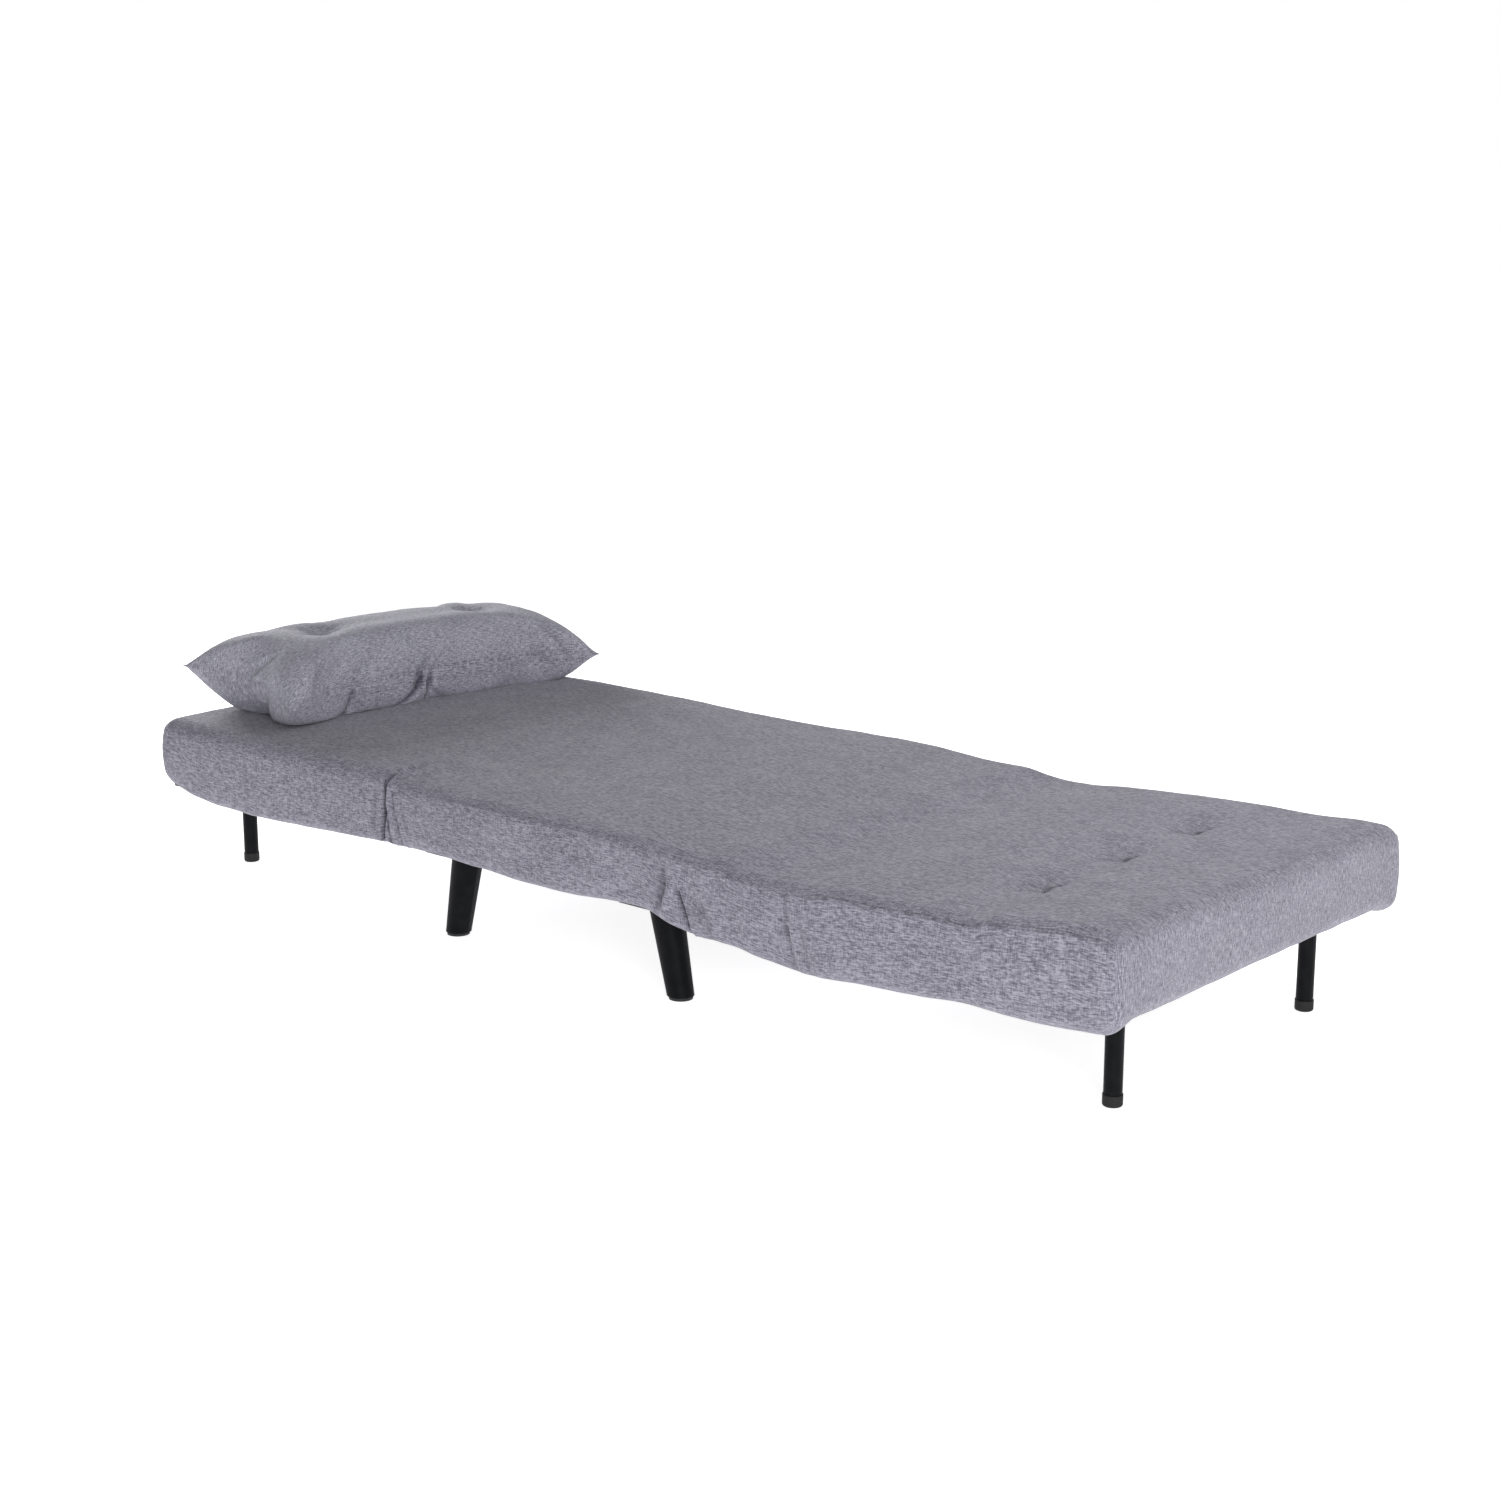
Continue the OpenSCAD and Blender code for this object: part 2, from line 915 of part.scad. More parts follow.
// the foam has a sunk seat and a bore for each tuft
module back_foam() {
    color("ivory")
        difference() {
            foam(back_x0, back_x1, 1);
            for (i = tuft_rows)
                translate([tuft_at, i * tuft_step, 0]) {
                    cylinder(h = flip_z, r = tie_r + 0.5);
                    translate([0, 0, pad_top - cloth - tuft_sink])
                        cylinder(h = tuft_sink + 1, r = button_r + 1);
                }
        }
}

module back_cover() {
    color("silver")
        difference() {
            cover(back_x0, back_x1, 1);
            block(back_x0 - 1, back_x0 + cloth + 1, cloth - half_w, half_w - cloth, 0, foam_z0);
        }
}

module back_dust_cloth() {
    color("black")
        difference() {
            dust_cloth(recline_x + end_gap + 5, back_x1);
            post_slots(0, flip_z);
        }
}

module recline_moving_arms() {
    color("gray")
        both_sides()
            upright(moving_y0, plate_t)
                translate([recline_x, recline_z])
                    recline_moving_outline();
}

// pawl on the moving arm, its tip just clear of the toothed head
module recline_pawls() {
    color("silver")
        both_sides()
            upright(moving_y0 + plate_t, plate_gap + plate_t - 0.5)
                translate([recline_x, recline_z])
                    rotate(pawl_at) {
                        translate([pawl_reach, 0])
                            circle(pawl_r);
                        translate([sector_r + 0.6, -1.2])
                            square([pawl_reach - sector_r, 2.4]);
                    }
}

module recline_spacers() {
    color("dimgray")
        both_sides()
            difference() {
                block(
                    recline_x + spacer_lead + 8, recline_x + arm_far, moving_y0 + plate_t, rail_y0,
                    foot_z0, foot_z1);
                for (x = [recline_x + 48, recline_x + arm_far - 15])
                    bar_y(x, rail_zc, 0, half_w, bolt_hole_r);
            }
}

module back_leg_brackets() {
    color("gray")
        leg_brackets();
}

module back_leg_pins() {
    color("silver")
        leg_pins();
}

module back_bolts() {
    color("silver") {
        both_sides()
            for (x = [recline_x + 48, recline_x + arm_far - 15])
                rail_bolt(x, moving_y0);
        bracket_bolts();
    }
}

module tuft_buttons() {
    color("gray")
        for (i = tuft_rows)
            translate([tuft_at, i * tuft_step, pad_top - cloth - tuft_sink + 0.2])
                cylinder(h = button_h, r = button_r);
}

module tuft_ties() {
    color("gray")
        for (i = tuft_rows)
            translate([tuft_at, i * tuft_step, foam_z0])
                cylinder(h = pad_top - cloth - tuft_sink + 0.2 - foam_z0, r = tie_r);
}

module tuft_washers() {
    color("white")
        for (i = tuft_rows)
            translate([tuft_at, i * tuft_step, foam_z0 - 2.5])
                cylinder(h = 2.3, r = washer_r);
}

module back_leg_tube() {
    color([0.1, 0.1, 0.11])
        leg_tube();
}

module back_leg_posts() {
    color([0.1, 0.1, 0.11])
        leg_posts();
}

module back_leg_bushes() {
    color("white")
        leg_bushes();
}

module back_leg_caps() {
    color("black")
        leg_caps();
}

// ---- pillow ----

// two arcs that meet in points, w wide and h high, drawn smaller by shrink
module lens(w, h, shrink) {
    r = (w * w + h * h) / (4 * h);
    intersection() {
        translate([0, r - h / 2])
            circle(r - shrink, $fn = 128);
        translate([0, h / 2 - r])
            circle(r - shrink, $fn = 128);
    }
}

// pillow form about its centre, flat underneath
module pillow_form(shrink) {
    translate([pillow_x, pillow_y, pillow_zc])
        intersection() {
            upright(-pillow_l, 2 * pillow_l)
                lens(pillow_w, pillow_h, shrink);
            translate([-pillow_w, 0, 0])
                rotate([90, 0, 90])
                    linear_extrude(2 * pillow_w)
                        lens(pillow_l, pillow_h, shrink);
            block(
                -pillow_w, pillow_w, -pillow_l, pillow_l,
                pillow_bottom - pillow_zc + shrink, pillow_h);
        }
}

module pillow_cover() {
    color("silver")
        difference() {
            pillow_form(0);
            pillow_form(cloth);
        }
}

module pillow_filling() {
    color("white")
        difference() {
            pillow_form(cloth + ease);
            for (i = tuft_rows)
                translate([pillow_x, pillow_y + i * pillow_tie_step, 0])
                    cylinder(h = pillow_zc + pillow_h, r = tie_r + 0.5);
        }
}

module pillow_ties() {
    color("gray")
        for (i = tuft_rows)
            translate([pillow_x, pillow_y + i * pillow_tie_step, pillow_bottom + cloth + ease])
                cylinder(h = pillow_half, r = tie_r);
}

seat_side_rails();
seat_cross_rails();
seat_slats();
seat_slat_holders();
seat_foam();
seat_cover();
seat_dust_cloth();
tapered_legs();
leg_glides();
leg_studs();
leg_nuts();
leg_plates();
leg_plate_screws();
flip_fixed_arms();
flip_pins();
recline_fixed_plates();
recline_pins();
seat_hinge_bolts();
front_side_rails();
front_cross_rails();
front_slats();
front_slat_holders();
front_foam();
front_under_pad();
front_cover();
front_dust_cloth();
flip_moving_arms();
flip_spacers();
front_leg_brackets();
front_leg_pins();
front_bolts();
front_leg_tube();
front_leg_posts();
front_leg_bushes();
front_leg_caps();
back_side_rails();
back_cross_rails();
back_slats();
back_slat_holders();
back_foam();
back_cover();
back_dust_cloth();
recline_moving_arms();
recline_pawls();
recline_spacers();
back_leg_brackets();
back_leg_pins();
back_bolts();
tuft_buttons();
tuft_ties();
tuft_washers();
back_leg_tube();
back_leg_posts();
back_leg_bushes();
back_leg_caps();
pillow_cover();
pillow_filling();
pillow_ties();
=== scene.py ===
import math
import bpy
import numpy as np
from mathutils import Matrix, Vector, noise


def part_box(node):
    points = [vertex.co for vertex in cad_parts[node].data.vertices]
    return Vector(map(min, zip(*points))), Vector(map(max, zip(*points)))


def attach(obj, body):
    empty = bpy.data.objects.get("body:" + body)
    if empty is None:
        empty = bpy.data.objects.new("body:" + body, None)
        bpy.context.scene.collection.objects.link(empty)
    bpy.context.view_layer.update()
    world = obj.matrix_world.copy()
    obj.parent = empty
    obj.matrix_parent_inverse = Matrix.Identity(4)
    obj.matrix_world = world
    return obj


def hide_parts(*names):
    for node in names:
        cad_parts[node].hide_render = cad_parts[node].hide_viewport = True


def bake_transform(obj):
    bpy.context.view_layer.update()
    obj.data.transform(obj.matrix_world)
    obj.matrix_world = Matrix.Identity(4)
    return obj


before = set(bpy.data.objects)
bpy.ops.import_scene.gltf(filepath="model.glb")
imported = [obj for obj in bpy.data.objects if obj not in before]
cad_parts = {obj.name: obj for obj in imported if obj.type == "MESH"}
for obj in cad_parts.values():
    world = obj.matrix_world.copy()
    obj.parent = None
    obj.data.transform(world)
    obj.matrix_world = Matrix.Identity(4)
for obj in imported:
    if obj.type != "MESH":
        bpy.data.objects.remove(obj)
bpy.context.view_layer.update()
MM = 0.001                       # every length below is in millimetres until a mesh is made

# Camera, at the photograph's viewing angle
CAMERA_AT = (2.4184, -2.6722, 1.0921)
CAMERA_RIGHT = (0.7497, 0.6618, 0.0)
CAMERA_UP = (-0.1435, 0.1625, 0.9762)
CAMERA_BACK = (0.6460, -0.7319, 0.2168)
LENS = 56.04


def edge(node, axis, side):
    """One face of a CAD node's box, in millimetres."""
    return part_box(node)[side][axis] / MM


# Sizes of the mattress, from the CAD
CAP_R, BUTTON_R = 13.5, 9                            # radii of the leg caps and the tuft buttons
LEFT, RIGHT = edge("front_cover", 0, 0), edge("back_cover", 0, 1)
HALF = edge("seat_cover", 1, 1)                      # half of the bed's width
FOLD = edge("seat_cover", 0, 0) - 1                  # middle of the fold between front and seat
GUSSET, BACK = edge("seat_cover", 0, 1), edge("back_cover", 0, 0)
UNDER = edge("seat_dust_cloth", 2, 0)                # underside
POST_X, POST_Y = edge("back_leg_caps", 0, 0) + CAP_R, edge("back_leg_caps", 1, 1) - CAP_R
TUFT_X, TUFT_Y = edge("tuft_buttons", 0, 0) + BUTTON_R, edge("tuft_buttons", 1, 1) - BUTTON_R
TUFT_TOP, EYE_TOP = edge("tuft_buttons", 2, 1), edge("flip_fixed_arms", 2, 1)
PAD = 118.0                                          # nominal thickness that the lattice is laid out in
SLIT = 1.5                                           # half of the slit between front and seat
SHEET = 3.0                                          # cloth and wadding left over the slit
CHANNEL_W, CHANNEL_H = 35.0, 32.0                    # channel that a folded post lies in
ROOF = 34.5                                          # height of the channel's roof over the underside
SEAM_DROP = 12                                       # depth of the stitches below the top's edge
TUFT_PLACES = (-TUFT_Y, 0, TUFT_Y)                   # the three tufts across the back
CHANNEL_IN, CHANNEL_OUT = 166.0, 18.0                # its reach inwards and outwards from the post's axis


# ---------------------------------------------------------------- shape helpers

def smooth(t):
    t = np.clip(t, 0, 1)
    return t * t * (3 - 2 * t)


def hump(x, middle, width):
    return np.exp(-((x - middle) / width) ** 2)


def curve(x, *knots):
    """Smooth curve through (place, height) knots."""
    kx, ky = np.array(knots, float).T
    slope = np.gradient(ky, kx)
    i = np.clip(np.searchsorted(kx, x) - 1, 0, len(kx) - 2)
    h = kx[i + 1] - kx[i]
    t = np.clip((x - kx[i]) / h, 0, 1)
    return ((1 + 2 * t) * (1 - t) ** 2 * ky[i] + t * (1 - t) ** 2 * h * slope[i]
            + t * t * (3 - 2 * t) * ky[i + 1] + t * t * (t - 1) * h * slope[i + 1])


def ripple(points, size, seed):
    """Soft random field, about -1 to 1, with lumps of the given size."""
    shift = Vector((seed * 17.3, seed * 5.1, seed * 9.7))
    return np.array([noise.noise(Vector(p) / size + shift) for p in points])


def fold(x, v, start, end, width, depth):
    """A pinched crease between two places on the unrolled cover, with a low lip beside it."""
    dx, dv = end[0] - start[0], end[1] - start[1]
    length = math.hypot(dx, dv)
    s = ((x - start[0]) * dx + (v - start[1]) * dv) / length ** 2
    across = ((x - start[0]) * dv - (v - start[1]) * dx) / length
    past = np.maximum(np.abs(s - 0.5) - 0.5, 0) * length
    fade = np.exp(-(past / (1.5 * width)) ** 2)
    return depth * fade * (0.45 * hump(across, 1.9 * width, 1.3 * width) - np.exp(-np.abs(across) / width))


def stops(*pairs):
    """Lattice lines: a start, then (next stop, step) pairs."""
    lines = [pairs[0]]
    for stop, step in pairs[1:]:
        count = max(1, round((stop - lines[-1]) / step))
        lines += list(np.linspace(lines[-1], stop, count + 1)[1:])
    return np.array(lines)


def lattice_surface(xs, ys, zs, solid):
    """Skin of the solid cells of a lattice: its points, its quads, and the axis that each quad faces along."""
    shape = np.array([len(xs), len(ys), len(zs)])
    ringed = np.pad(solid, 1)
    unit = np.eye(3, dtype=int)
    quads, axes = [], []
    for axis in range(3):
        a, b = unit[(axis + 1) % 3], unit[(axis + 2) % 3]
        for side in (-1, 1):
            bare = ~np.roll(ringed, -side, axis)[1:-1, 1:-1, 1:-1]
            cells = np.argwhere(solid & bare) + (unit[axis] if side > 0 else 0)
            corners = [cells, cells + a, cells + a + b, cells + b][::side]
            quads.append(np.stack([np.ravel_multi_index(c.T, shape) for c in corners], 1))
            axes.append(np.full(len(cells), axis))
    quads, axes = np.concatenate(quads), np.concatenate(axes)
    used, quads = np.unique(quads, return_inverse=True)
    i, j, k = np.unravel_index(used, shape)
    return np.stack([xs[i], ys[j], zs[k]], 1), quads.reshape(-1, 4), axes


def new_mesh(name, points, faces, smooth_angle=None):
    """A smooth-shaded piece from points in millimetres, with edges sharper than smooth_angle kept."""
    mesh = bpy.data.meshes.new(name)
    corners = faces.tolist() if isinstance(faces, np.ndarray) else faces
    mesh.from_pydata((np.asarray(points) * MM).tolist(), [], corners)
    mesh.shade_smooth()
    if smooth_angle:
        mesh.set_sharp_from_angle(angle=math.radians(smooth_angle))
    piece = bpy.data.objects.new(name, mesh)
    bpy.context.scene.collection.objects.link(piece)
    return piece


# ---------------------------------------------------------------- the mattress

# Height of the top and of the near side's lower edge along the bed, as (x, height) knots
TOP_LINE = (
    (-975, 271), (-820, 268), (-560, 268), (-386, 264.5), (-290, 261), (-100, 259.5), (150, 259), (264, 251),
    (320, 250), (400, 241), (462, 242), (530, 248), (690, 254), (850, 262), (925, 267), (975, 265))
SKIRT_LINE = (
    (-978, 156), (-930, 142), (-750, 130), (-620, 133), (-420, 142), (-340, 143), (-260, 144.5), (-180, 142),
    (-60, 138), (30, 139), (130, 144.5), (190, 142), (222, 133), (262, 126), (370, 123), (415, 117), (470, 111),
    (540, 116), (680, 124), (745, 130), (820, 128), (900, 131), (975, 138))
GATHER = 34                                      # length of the gathers at a tuft
GATHER_SLANTS = (-GATHER, 0, 40)
VALLEY_DEPTH, TUFT_DEPTH = 9.0, 5.5              # of the tufted valley, and of a tuft in it
CLEAR_TIE, CLEAR_EYE = 0.9, 1.6                  # cloth over the tuft buttons and the hinge eyes
EYE_Y = 348                                      # the hinge eyes lie inside this half width
FRAME_Y = 318                                    # the underside is flat inside this half width


def pinches(x, y):
    """The short gathers at the three tufts, as height changes."""
    change = np.zeros(len(x))
    for place in TUFT_PLACES:
        for slant in GATHER_SLANTS:
            change += fold(x, y, (TUFT_X, place), (TUFT_X - GATHER, place + slant), 4, 1.8)
        change += fold(x, y, (TUFT_X + 1, place - 14), (TUFT_X + 1, place + 18), 3.5, 6.0)
    return change


def top_height(x, y):
    """Height of the bed's top over the floor."""
    across = y / HALF
    # a slight cant towards the near side, a low crown, and a sunken near edge
    height = curve(x, *TOP_LINE) + across * np.where(x < 700, 4.5, 4.5 - 7 * smooth((x - 700) / 200))
    height += 2.5 * (1 - across ** 2) * smooth((900 - x) / 150)
    height -= 5 * smooth((-y - 270) / 100) * smooth((x + 420) / 80) * smooth((720 - x) / 100)
    # the tufted valley across the back
    valley = np.where(x < TUFT_X, hump(x, TUFT_X, 62), hump(x, TUFT_X, 18)) * smooth((330 - y) / 120)
    height -= VALLEY_DEPTH * valley * (0.8 + 0.2 * np.cos(2 * np.pi * y / TUFT_Y))
    height += pinches(x, y)
    for place in TUFT_PLACES:
        far = np.hypot((x - TUFT_X) * np.where(x < TUFT_X, 0.8, 1.5), 0.7 * (y - place))
        height -= TUFT_DEPTH * np.exp(-far / 20)
        tie = smooth((14 - np.hypot(x - TUFT_X, y - place)) / 5)
        height = height + tie * np.maximum(TUFT_TOP + CLEAR_TIE - height, 0)
    # over the hinge eyes
    eyes = smooth((18 - np.abs(x - FOLD)) / 10) * smooth((EYE_Y - np.abs(y)) / 6)
    return height + eyes * np.maximum(EYE_TOP + CLEAR_EYE - height, 0)


def under_height(x, y):
    """Height of the bed's underside over the floor."""
    skirt = curve(x, *SKIRT_LINE)
    skirt = np.where(y > 0, 0.6 * skirt + 0.4 * np.minimum(skirt, 138), skirt)
    flat = UNDER + 0.5
    reach = smooth((np.abs(y) - FRAME_Y) / 40)
    return flat + (skirt - flat) * reach


# Creases: start and end as x and distance down from the top's edge, then width and depth
CREASES = (                                      # near side
    ((-376, -14), (-392, 118), 3.6, 9.5), ((-380, 50), (-372, 112), 3.2, 6.5), ((-362, 28), (-356, 66), 3.2, 3.6),
    ((-402, 40), (-410, 92), 5, 2.6), ((-350, 34), (-338, 92), 4, -3.2), ((-350, 70), (-343, 116), 3.2, 3.6),
    ((226, 30), (212, 96), 6, 2.6), ((229, 50), (219, 86), 3.4, 5.0), ((252, 62), (277, 122), 3.2, 9.0),
    ((300, 70), (318, 118), 7, 2.4), ((447, 10), (454, 66), 4, 2.4),
    ((454, 60), (470, 128), 4, 3.4), ((484, 70), (496, 116), 6, 2.0), ((425, 4), (560, 12), 8, -2.0),
    ((884, 18), (905, 100), 10, -1.6), ((-884, 30), (-905, 96), 12, -1.6))
FAR_CREASES = (                                  # far side
    ((-386, 4), (-378, 116), 4.5, 6.0), ((-396, 46), (-402, 108), 4, 3.2), ((-360, 40), (-352, 96), 5, 2.2),
    ((258, 30), (270, 118), 5.5, 5.5), ((232, 60), (222, 108), 5, 3.0), ((446, 10), (462, 110), 6, 4.0),
    ((492, 64), (486, 112), 6, 2.2), ((310, 60), (322, 116), 7, 1.8))


def shape(p, stand=0.0):
    """Takes points of the plain lattice block to the upholstered shape, standing off it by stand.
    Gives the places, and how deep each lies in a crease or seam, 0 to 1, kept as painted shade for the cloth's
    colour."""
    x, y, z = p.T
    # edge radii, growing towards the ends
    left, right = smooth((-x - 880) / 80), smooth((x - 880) / 60)
    high = smooth(z / PAD)
    r_x = np.where(x < 0, 22.0, 24.0)
    r_y = high * np.interp(x, (-700, 0, 450, 700), (26, 23, 20, 16)) + (1 - high) * 14
    r_top = np.interp(x, (-700, 0, 450, 700), (26, 22, 19, 16)) + 7 * right
    r_under = 13 + 8 * left + 9 * right
    # the block's edges are rounded by pulling its outer layers onto ellipsoids
    lo, hi = np.array([LEFT, -HALF, 0]), np.array([RIGHT, HALF, PAD])
    low_r, high_r = np.stack([r_x, r_y, r_under], 1), np.stack([r_x, r_y, r_top], 1)
    core = np.clip(p, lo + low_r, hi - high_r)
    radius = np.where(p < core, low_r, high_r)
    u = (p - core) / radius
    big, length = np.abs(u).max(1), np.linalg.norm(u, axis=1)
    scale = np.divide(big, length, out=np.zeros_like(big), where=length > 0)
    out = u * scale[:, None]
    q = core + radius * out
    qx, qy, qz = q.T
    t = qz / PAD

    # unrolled place: distance across, then down the side
    down = PAD - z
    side = np.abs(out[:, 1])
    cap = np.abs(out[:, 0])
    v = np.abs(y) - HALF + down
    # swelling of the sides and ends, pulled in at the folds
    bulge = np.zeros(len(p))
    bulge += side * 4.0 * np.sin(np.pi * t) * (1 - hump(x, FOLD, 26)) * (1 - 0.7 * hump(x, GUSSET, 30))
    bulge -= side * (3.0 * hump(x, GUSSET, 26) + 3.5 * hump(x, BACK + 22, 30) + 2.0 * hump(x, FOLD, 12))
    bulge += cap * np.where(x < 0, 13.0, 4.5) * np.sin(np.pi * np.clip(t, 0, 1)) ** 0.6 * (1 - 0.25 * side)
    dent = np.zeros(len(p))
    for creases, sign in ((CREASES, -1), (FAR_CREASES, 1)):
        on = side * (y * sign > 0)
        for start, end, width, depth in creases:
            dent += on * fold(x, v, start, end, width, depth)
    # stitched seams: along the long top edges, and down the right end's corners
    seam_on = smooth((x - FOLD - 10) / 300) * 0.3 + 0.5 * smooth((x - 430) / 120)
    seam = seam_on * side * hump(v, 6.6, 1.3)
    bulge += dent - 2.2 * seam
    bulge += seam_on * side * (hump(v, 12, 4.5) * 1.1 + hump(v, 1.5, 3) * 0.7)
    corner = np.minimum(cap, side)
    bulge += np.where(x > 0, 2.2, 1.0) * smooth((corner - 0.56) / 0.14)
    # slack cloth
    slack = ripple(q, 150, 1) * 1.6 + ripple(q * (1, 1.6, 1), 62, 2) * 0.9
    slack += side * (ripple(q * (1, 0, 0.55), 34, 3) * 1.1)
    # gusset: broad soft waves along the near side and on top
    slack += hump(x, 350, 90) * ripple(q * (1, 0.4, 0.5), 46, 4) * 1.8
    skin = np.clip(big * 1.6 - 0.6, 0, 1)
    qx, qy, qz = (q + out * ((bulge + slack) * skin + stand)[:, None]).T

    # the slit's lower lips are rounded over
    gap = np.abs(x - FOLD)
    lip = 12 - np.sqrt(np.maximum(144 - np.clip(12 - z, 0, 12) ** 2, 0))
    qx = qx + np.sign(x - FOLD) * lip * np.clip(1 - (gap - SLIT) / 24, 0, 1) * (gap < 30)
    top, under = top_height(qx, qy), under_height(qx, qy)
    # painted shade: darkness painted into the creases, the seam groove and the tuft pinches, stored as the crease
    # attribute
    shade = np.clip(-dent / 6 + 0.4 * seam, 0, 1)
    shade = shade + out[:, 2].clip(0) * np.clip(-pinches(qx, qy) / 6, 0, 1)
    # the lowest layer keeps its height, so that the leg channels stay open under the tufts
    above = (qz - CHANNEL_H) / (PAD - CHANNEL_H)
    height = np.where(above < 0, qz * ROOF / CHANNEL_H, ROOF + above * (top - under - ROOF))
    return np.stack([qx, qy, under + height], 1), shade


def unrolled(points, quads, axes):
    """Weave direction of each face corner: along the cloth, across it, and the panel it belongs to."""
    at = points[quads]                                    # faces, corners, xyz
    down = PAD - at[..., 2]
    facing = axes[:, None]
    along = np.where(facing == 0, at[..., 0] + down, at[..., 0])
    across = np.where(facing == 1, np.sign(at[..., 1]) * (np.abs(at[..., 1]) + down), at[..., 1])
    panel = np.broadcast_to(facing * 40.0, along.shape)
    return np.stack([along, across, panel], 2)


def add_weave(piece, places):
    """Stores the weave places, so that the cloth's pattern doesn't shift when the piece bends."""
    layer = piece.data.attributes.new("weave", "FLOAT_VECTOR", "CORNER")
    layer.data.foreach_set("vector", (places * MM).astype(np.float32).ravel())


ACROSS = stops(-HALF, (-340, 4), (-POST_Y - CHANNEL_W / 2, 7), (-POST_Y + CHANNEL_W / 2, 7),
               (POST_Y - CHANNEL_W / 2, 7.3), (POST_Y + CHANNEL_W / 2, 7), (340, 7), (HALF, 4))
UPWARD = stops(0, (CHANNEL_H, 4), (88, 5.5), (104, 4), (PAD - SHEET, 1.8), (PAD, SHEET))


def channels(x, y, z):
    """Cells of the leg channels in the underside."""
    inner, outer = POST_X - CHANNEL_IN, POST_X + CHANNEL_OUT
    beside = np.abs(np.abs(y) - POST_Y) < CHANNEL_W / 2
    return (np.abs(x) > inner) & (np.abs(x) < outer) & beside & (z < CHANNEL_H)


def centres(lines):
    """Middles of the cells between lattice lines."""
    return (lines[1:] + lines[:-1]) / 2


def padded_block(name, along, slit):
    """An upholstered piece between the first and last line along the bed."""
    x, y, z = np.meshgrid(centres(along), centres(ACROSS), centres(UPWARD), indexing="ij")
    solid = ~channels(x, y, z)
    if slit:
        solid &= ~((np.abs(x - FOLD) < SLIT) & (z < PAD - SHEET))
    points, quads, axes = lattice_surface(along, ACROSS, UPWARD, solid)
    places, shade = shape(points)
    piece = new_mesh(name, places, quads, 52)
    # the crease attribute carries the painted shade of the creases, seams and tuft pinches
    piece.data.attributes.new("crease", "FLOAT", "POINT").data.foreach_set("value", shade.astype(np.float32))
    add_weave(piece, unrolled(points, quads, axes))
    return piece


seat_cover = padded_block("seat_and_front_cushion", stops(
    LEFT, (LEFT + 34, 4), (-POST_X - CHANNEL_OUT, 6), (-POST_X + CHANNEL_IN, 7), (-412, 7), (FOLD - SLIT, 3.5),
    (FOLD + SLIT, 3), (-330, 3.5), (208, 7), (GUSSET, 3.8)), True)
back_cover = padded_block("back_cushion", stops(
    GUSSET, (300, 3.8), (435, 6), (500, 4), (POST_X - CHANNEL_IN, 7), (780, 4), (POST_X + CHANNEL_OUT, 6),
    (RIGHT - 34, 6), (RIGHT, 3.6)), False)


LINING_THICK, LINING_DROP = 0.8, 0.9
LINING_STEP = 12                                     # size of the linings' quads
LINING_HALF = 316                                    # half of their width
SEAT_LINING, BACK_LINING = (-342, 222), (468, 940)   # their ends


def thin_sheet(name, along):
    """A closed sheet of cloth under the mattress, clear of the leg channels."""
    across = LINING_Y
    zs = np.array([0.0, 1.0])
    x, y, z = np.meshgrid(centres(along), centres(across), centres(zs), indexing="ij")
    points, quads, axes = lattice_surface(along, across, zs, ~channels(x, y, z))
    x, y, z = points.T
    rim = np.minimum(np.minimum(x - along[0], along[-1] - x), np.minimum(y - across[0], across[-1] - y))
    sag = 1.6 * smooth(rim / 60) + 0.5 * ripple(points * (1, 1, 0), 60, 8) * smooth(rim / 30)
    points = np.stack([x, y, UNDER - LINING_DROP - sag + LINING_THICK * z], 1)
    piece = new_mesh(name, points, quads, 60)
    add_weave(piece, points[quads])
    return piece


LINING_Y = stops(-LINING_HALF, *[(stop, LINING_STEP) for stop in (
    -POST_Y - CHANNEL_W / 2, -POST_Y + CHANNEL_W / 2, POST_Y - CHANNEL_W / 2, POST_Y + CHANNEL_W / 2, LINING_HALF)])
seat_lining = thin_sheet("seat_under_lining", stops(SEAT_LINING[0], (SEAT_LINING[1], LINING_STEP)))
back_lining = thin_sheet("back_under_lining", stops(BACK_LINING[0], *[(stop, LINING_STEP) for stop in (
    POST_X - CHANNEL_IN, POST_X + CHANNEL_OUT, BACK_LINING[1])]))


# ---------------------------------------------------------------- stitches

def tube(path, radius, sides=6):
    """Points and quads of a round closed tube along a path."""
    path = np.asarray(path, float)
    ahead = np.gradient(path, axis=0)
    ahead /= np.linalg.norm(ahead, axis=1)[:, None]
    up = np.array([0.0, 0.0, 1.0]) if abs(ahead[0][2]) < 0.9 else np.array([0.0, 1.0, 0.0])
    a = np.cross(ahead, up)
    a /= np.linalg.norm(a, axis=1)[:, None]
    b = np.cross(ahead, a)
    turn = 2 * np.pi * np.arange(sides) / sides
    rings = [path + radius * (a * math.cos(w) + b * math.sin(w)) for w in turn]
    points = np.stack(rings, 1).reshape(-1, 3)
    faces = []
    for i in range(len(path) - 1):
        for j in range(sides):
            k = (j + 1) % sides
            faces.append((i * sides + j, i * sides + k, (i + 1) * sides + k, (i + 1) * sides + j))
    faces.append(tuple(reversed(range(sides))))
    faces.append(tuple(range((len(path) - 1) * sides, len(path) * sides)))
    return points, faces


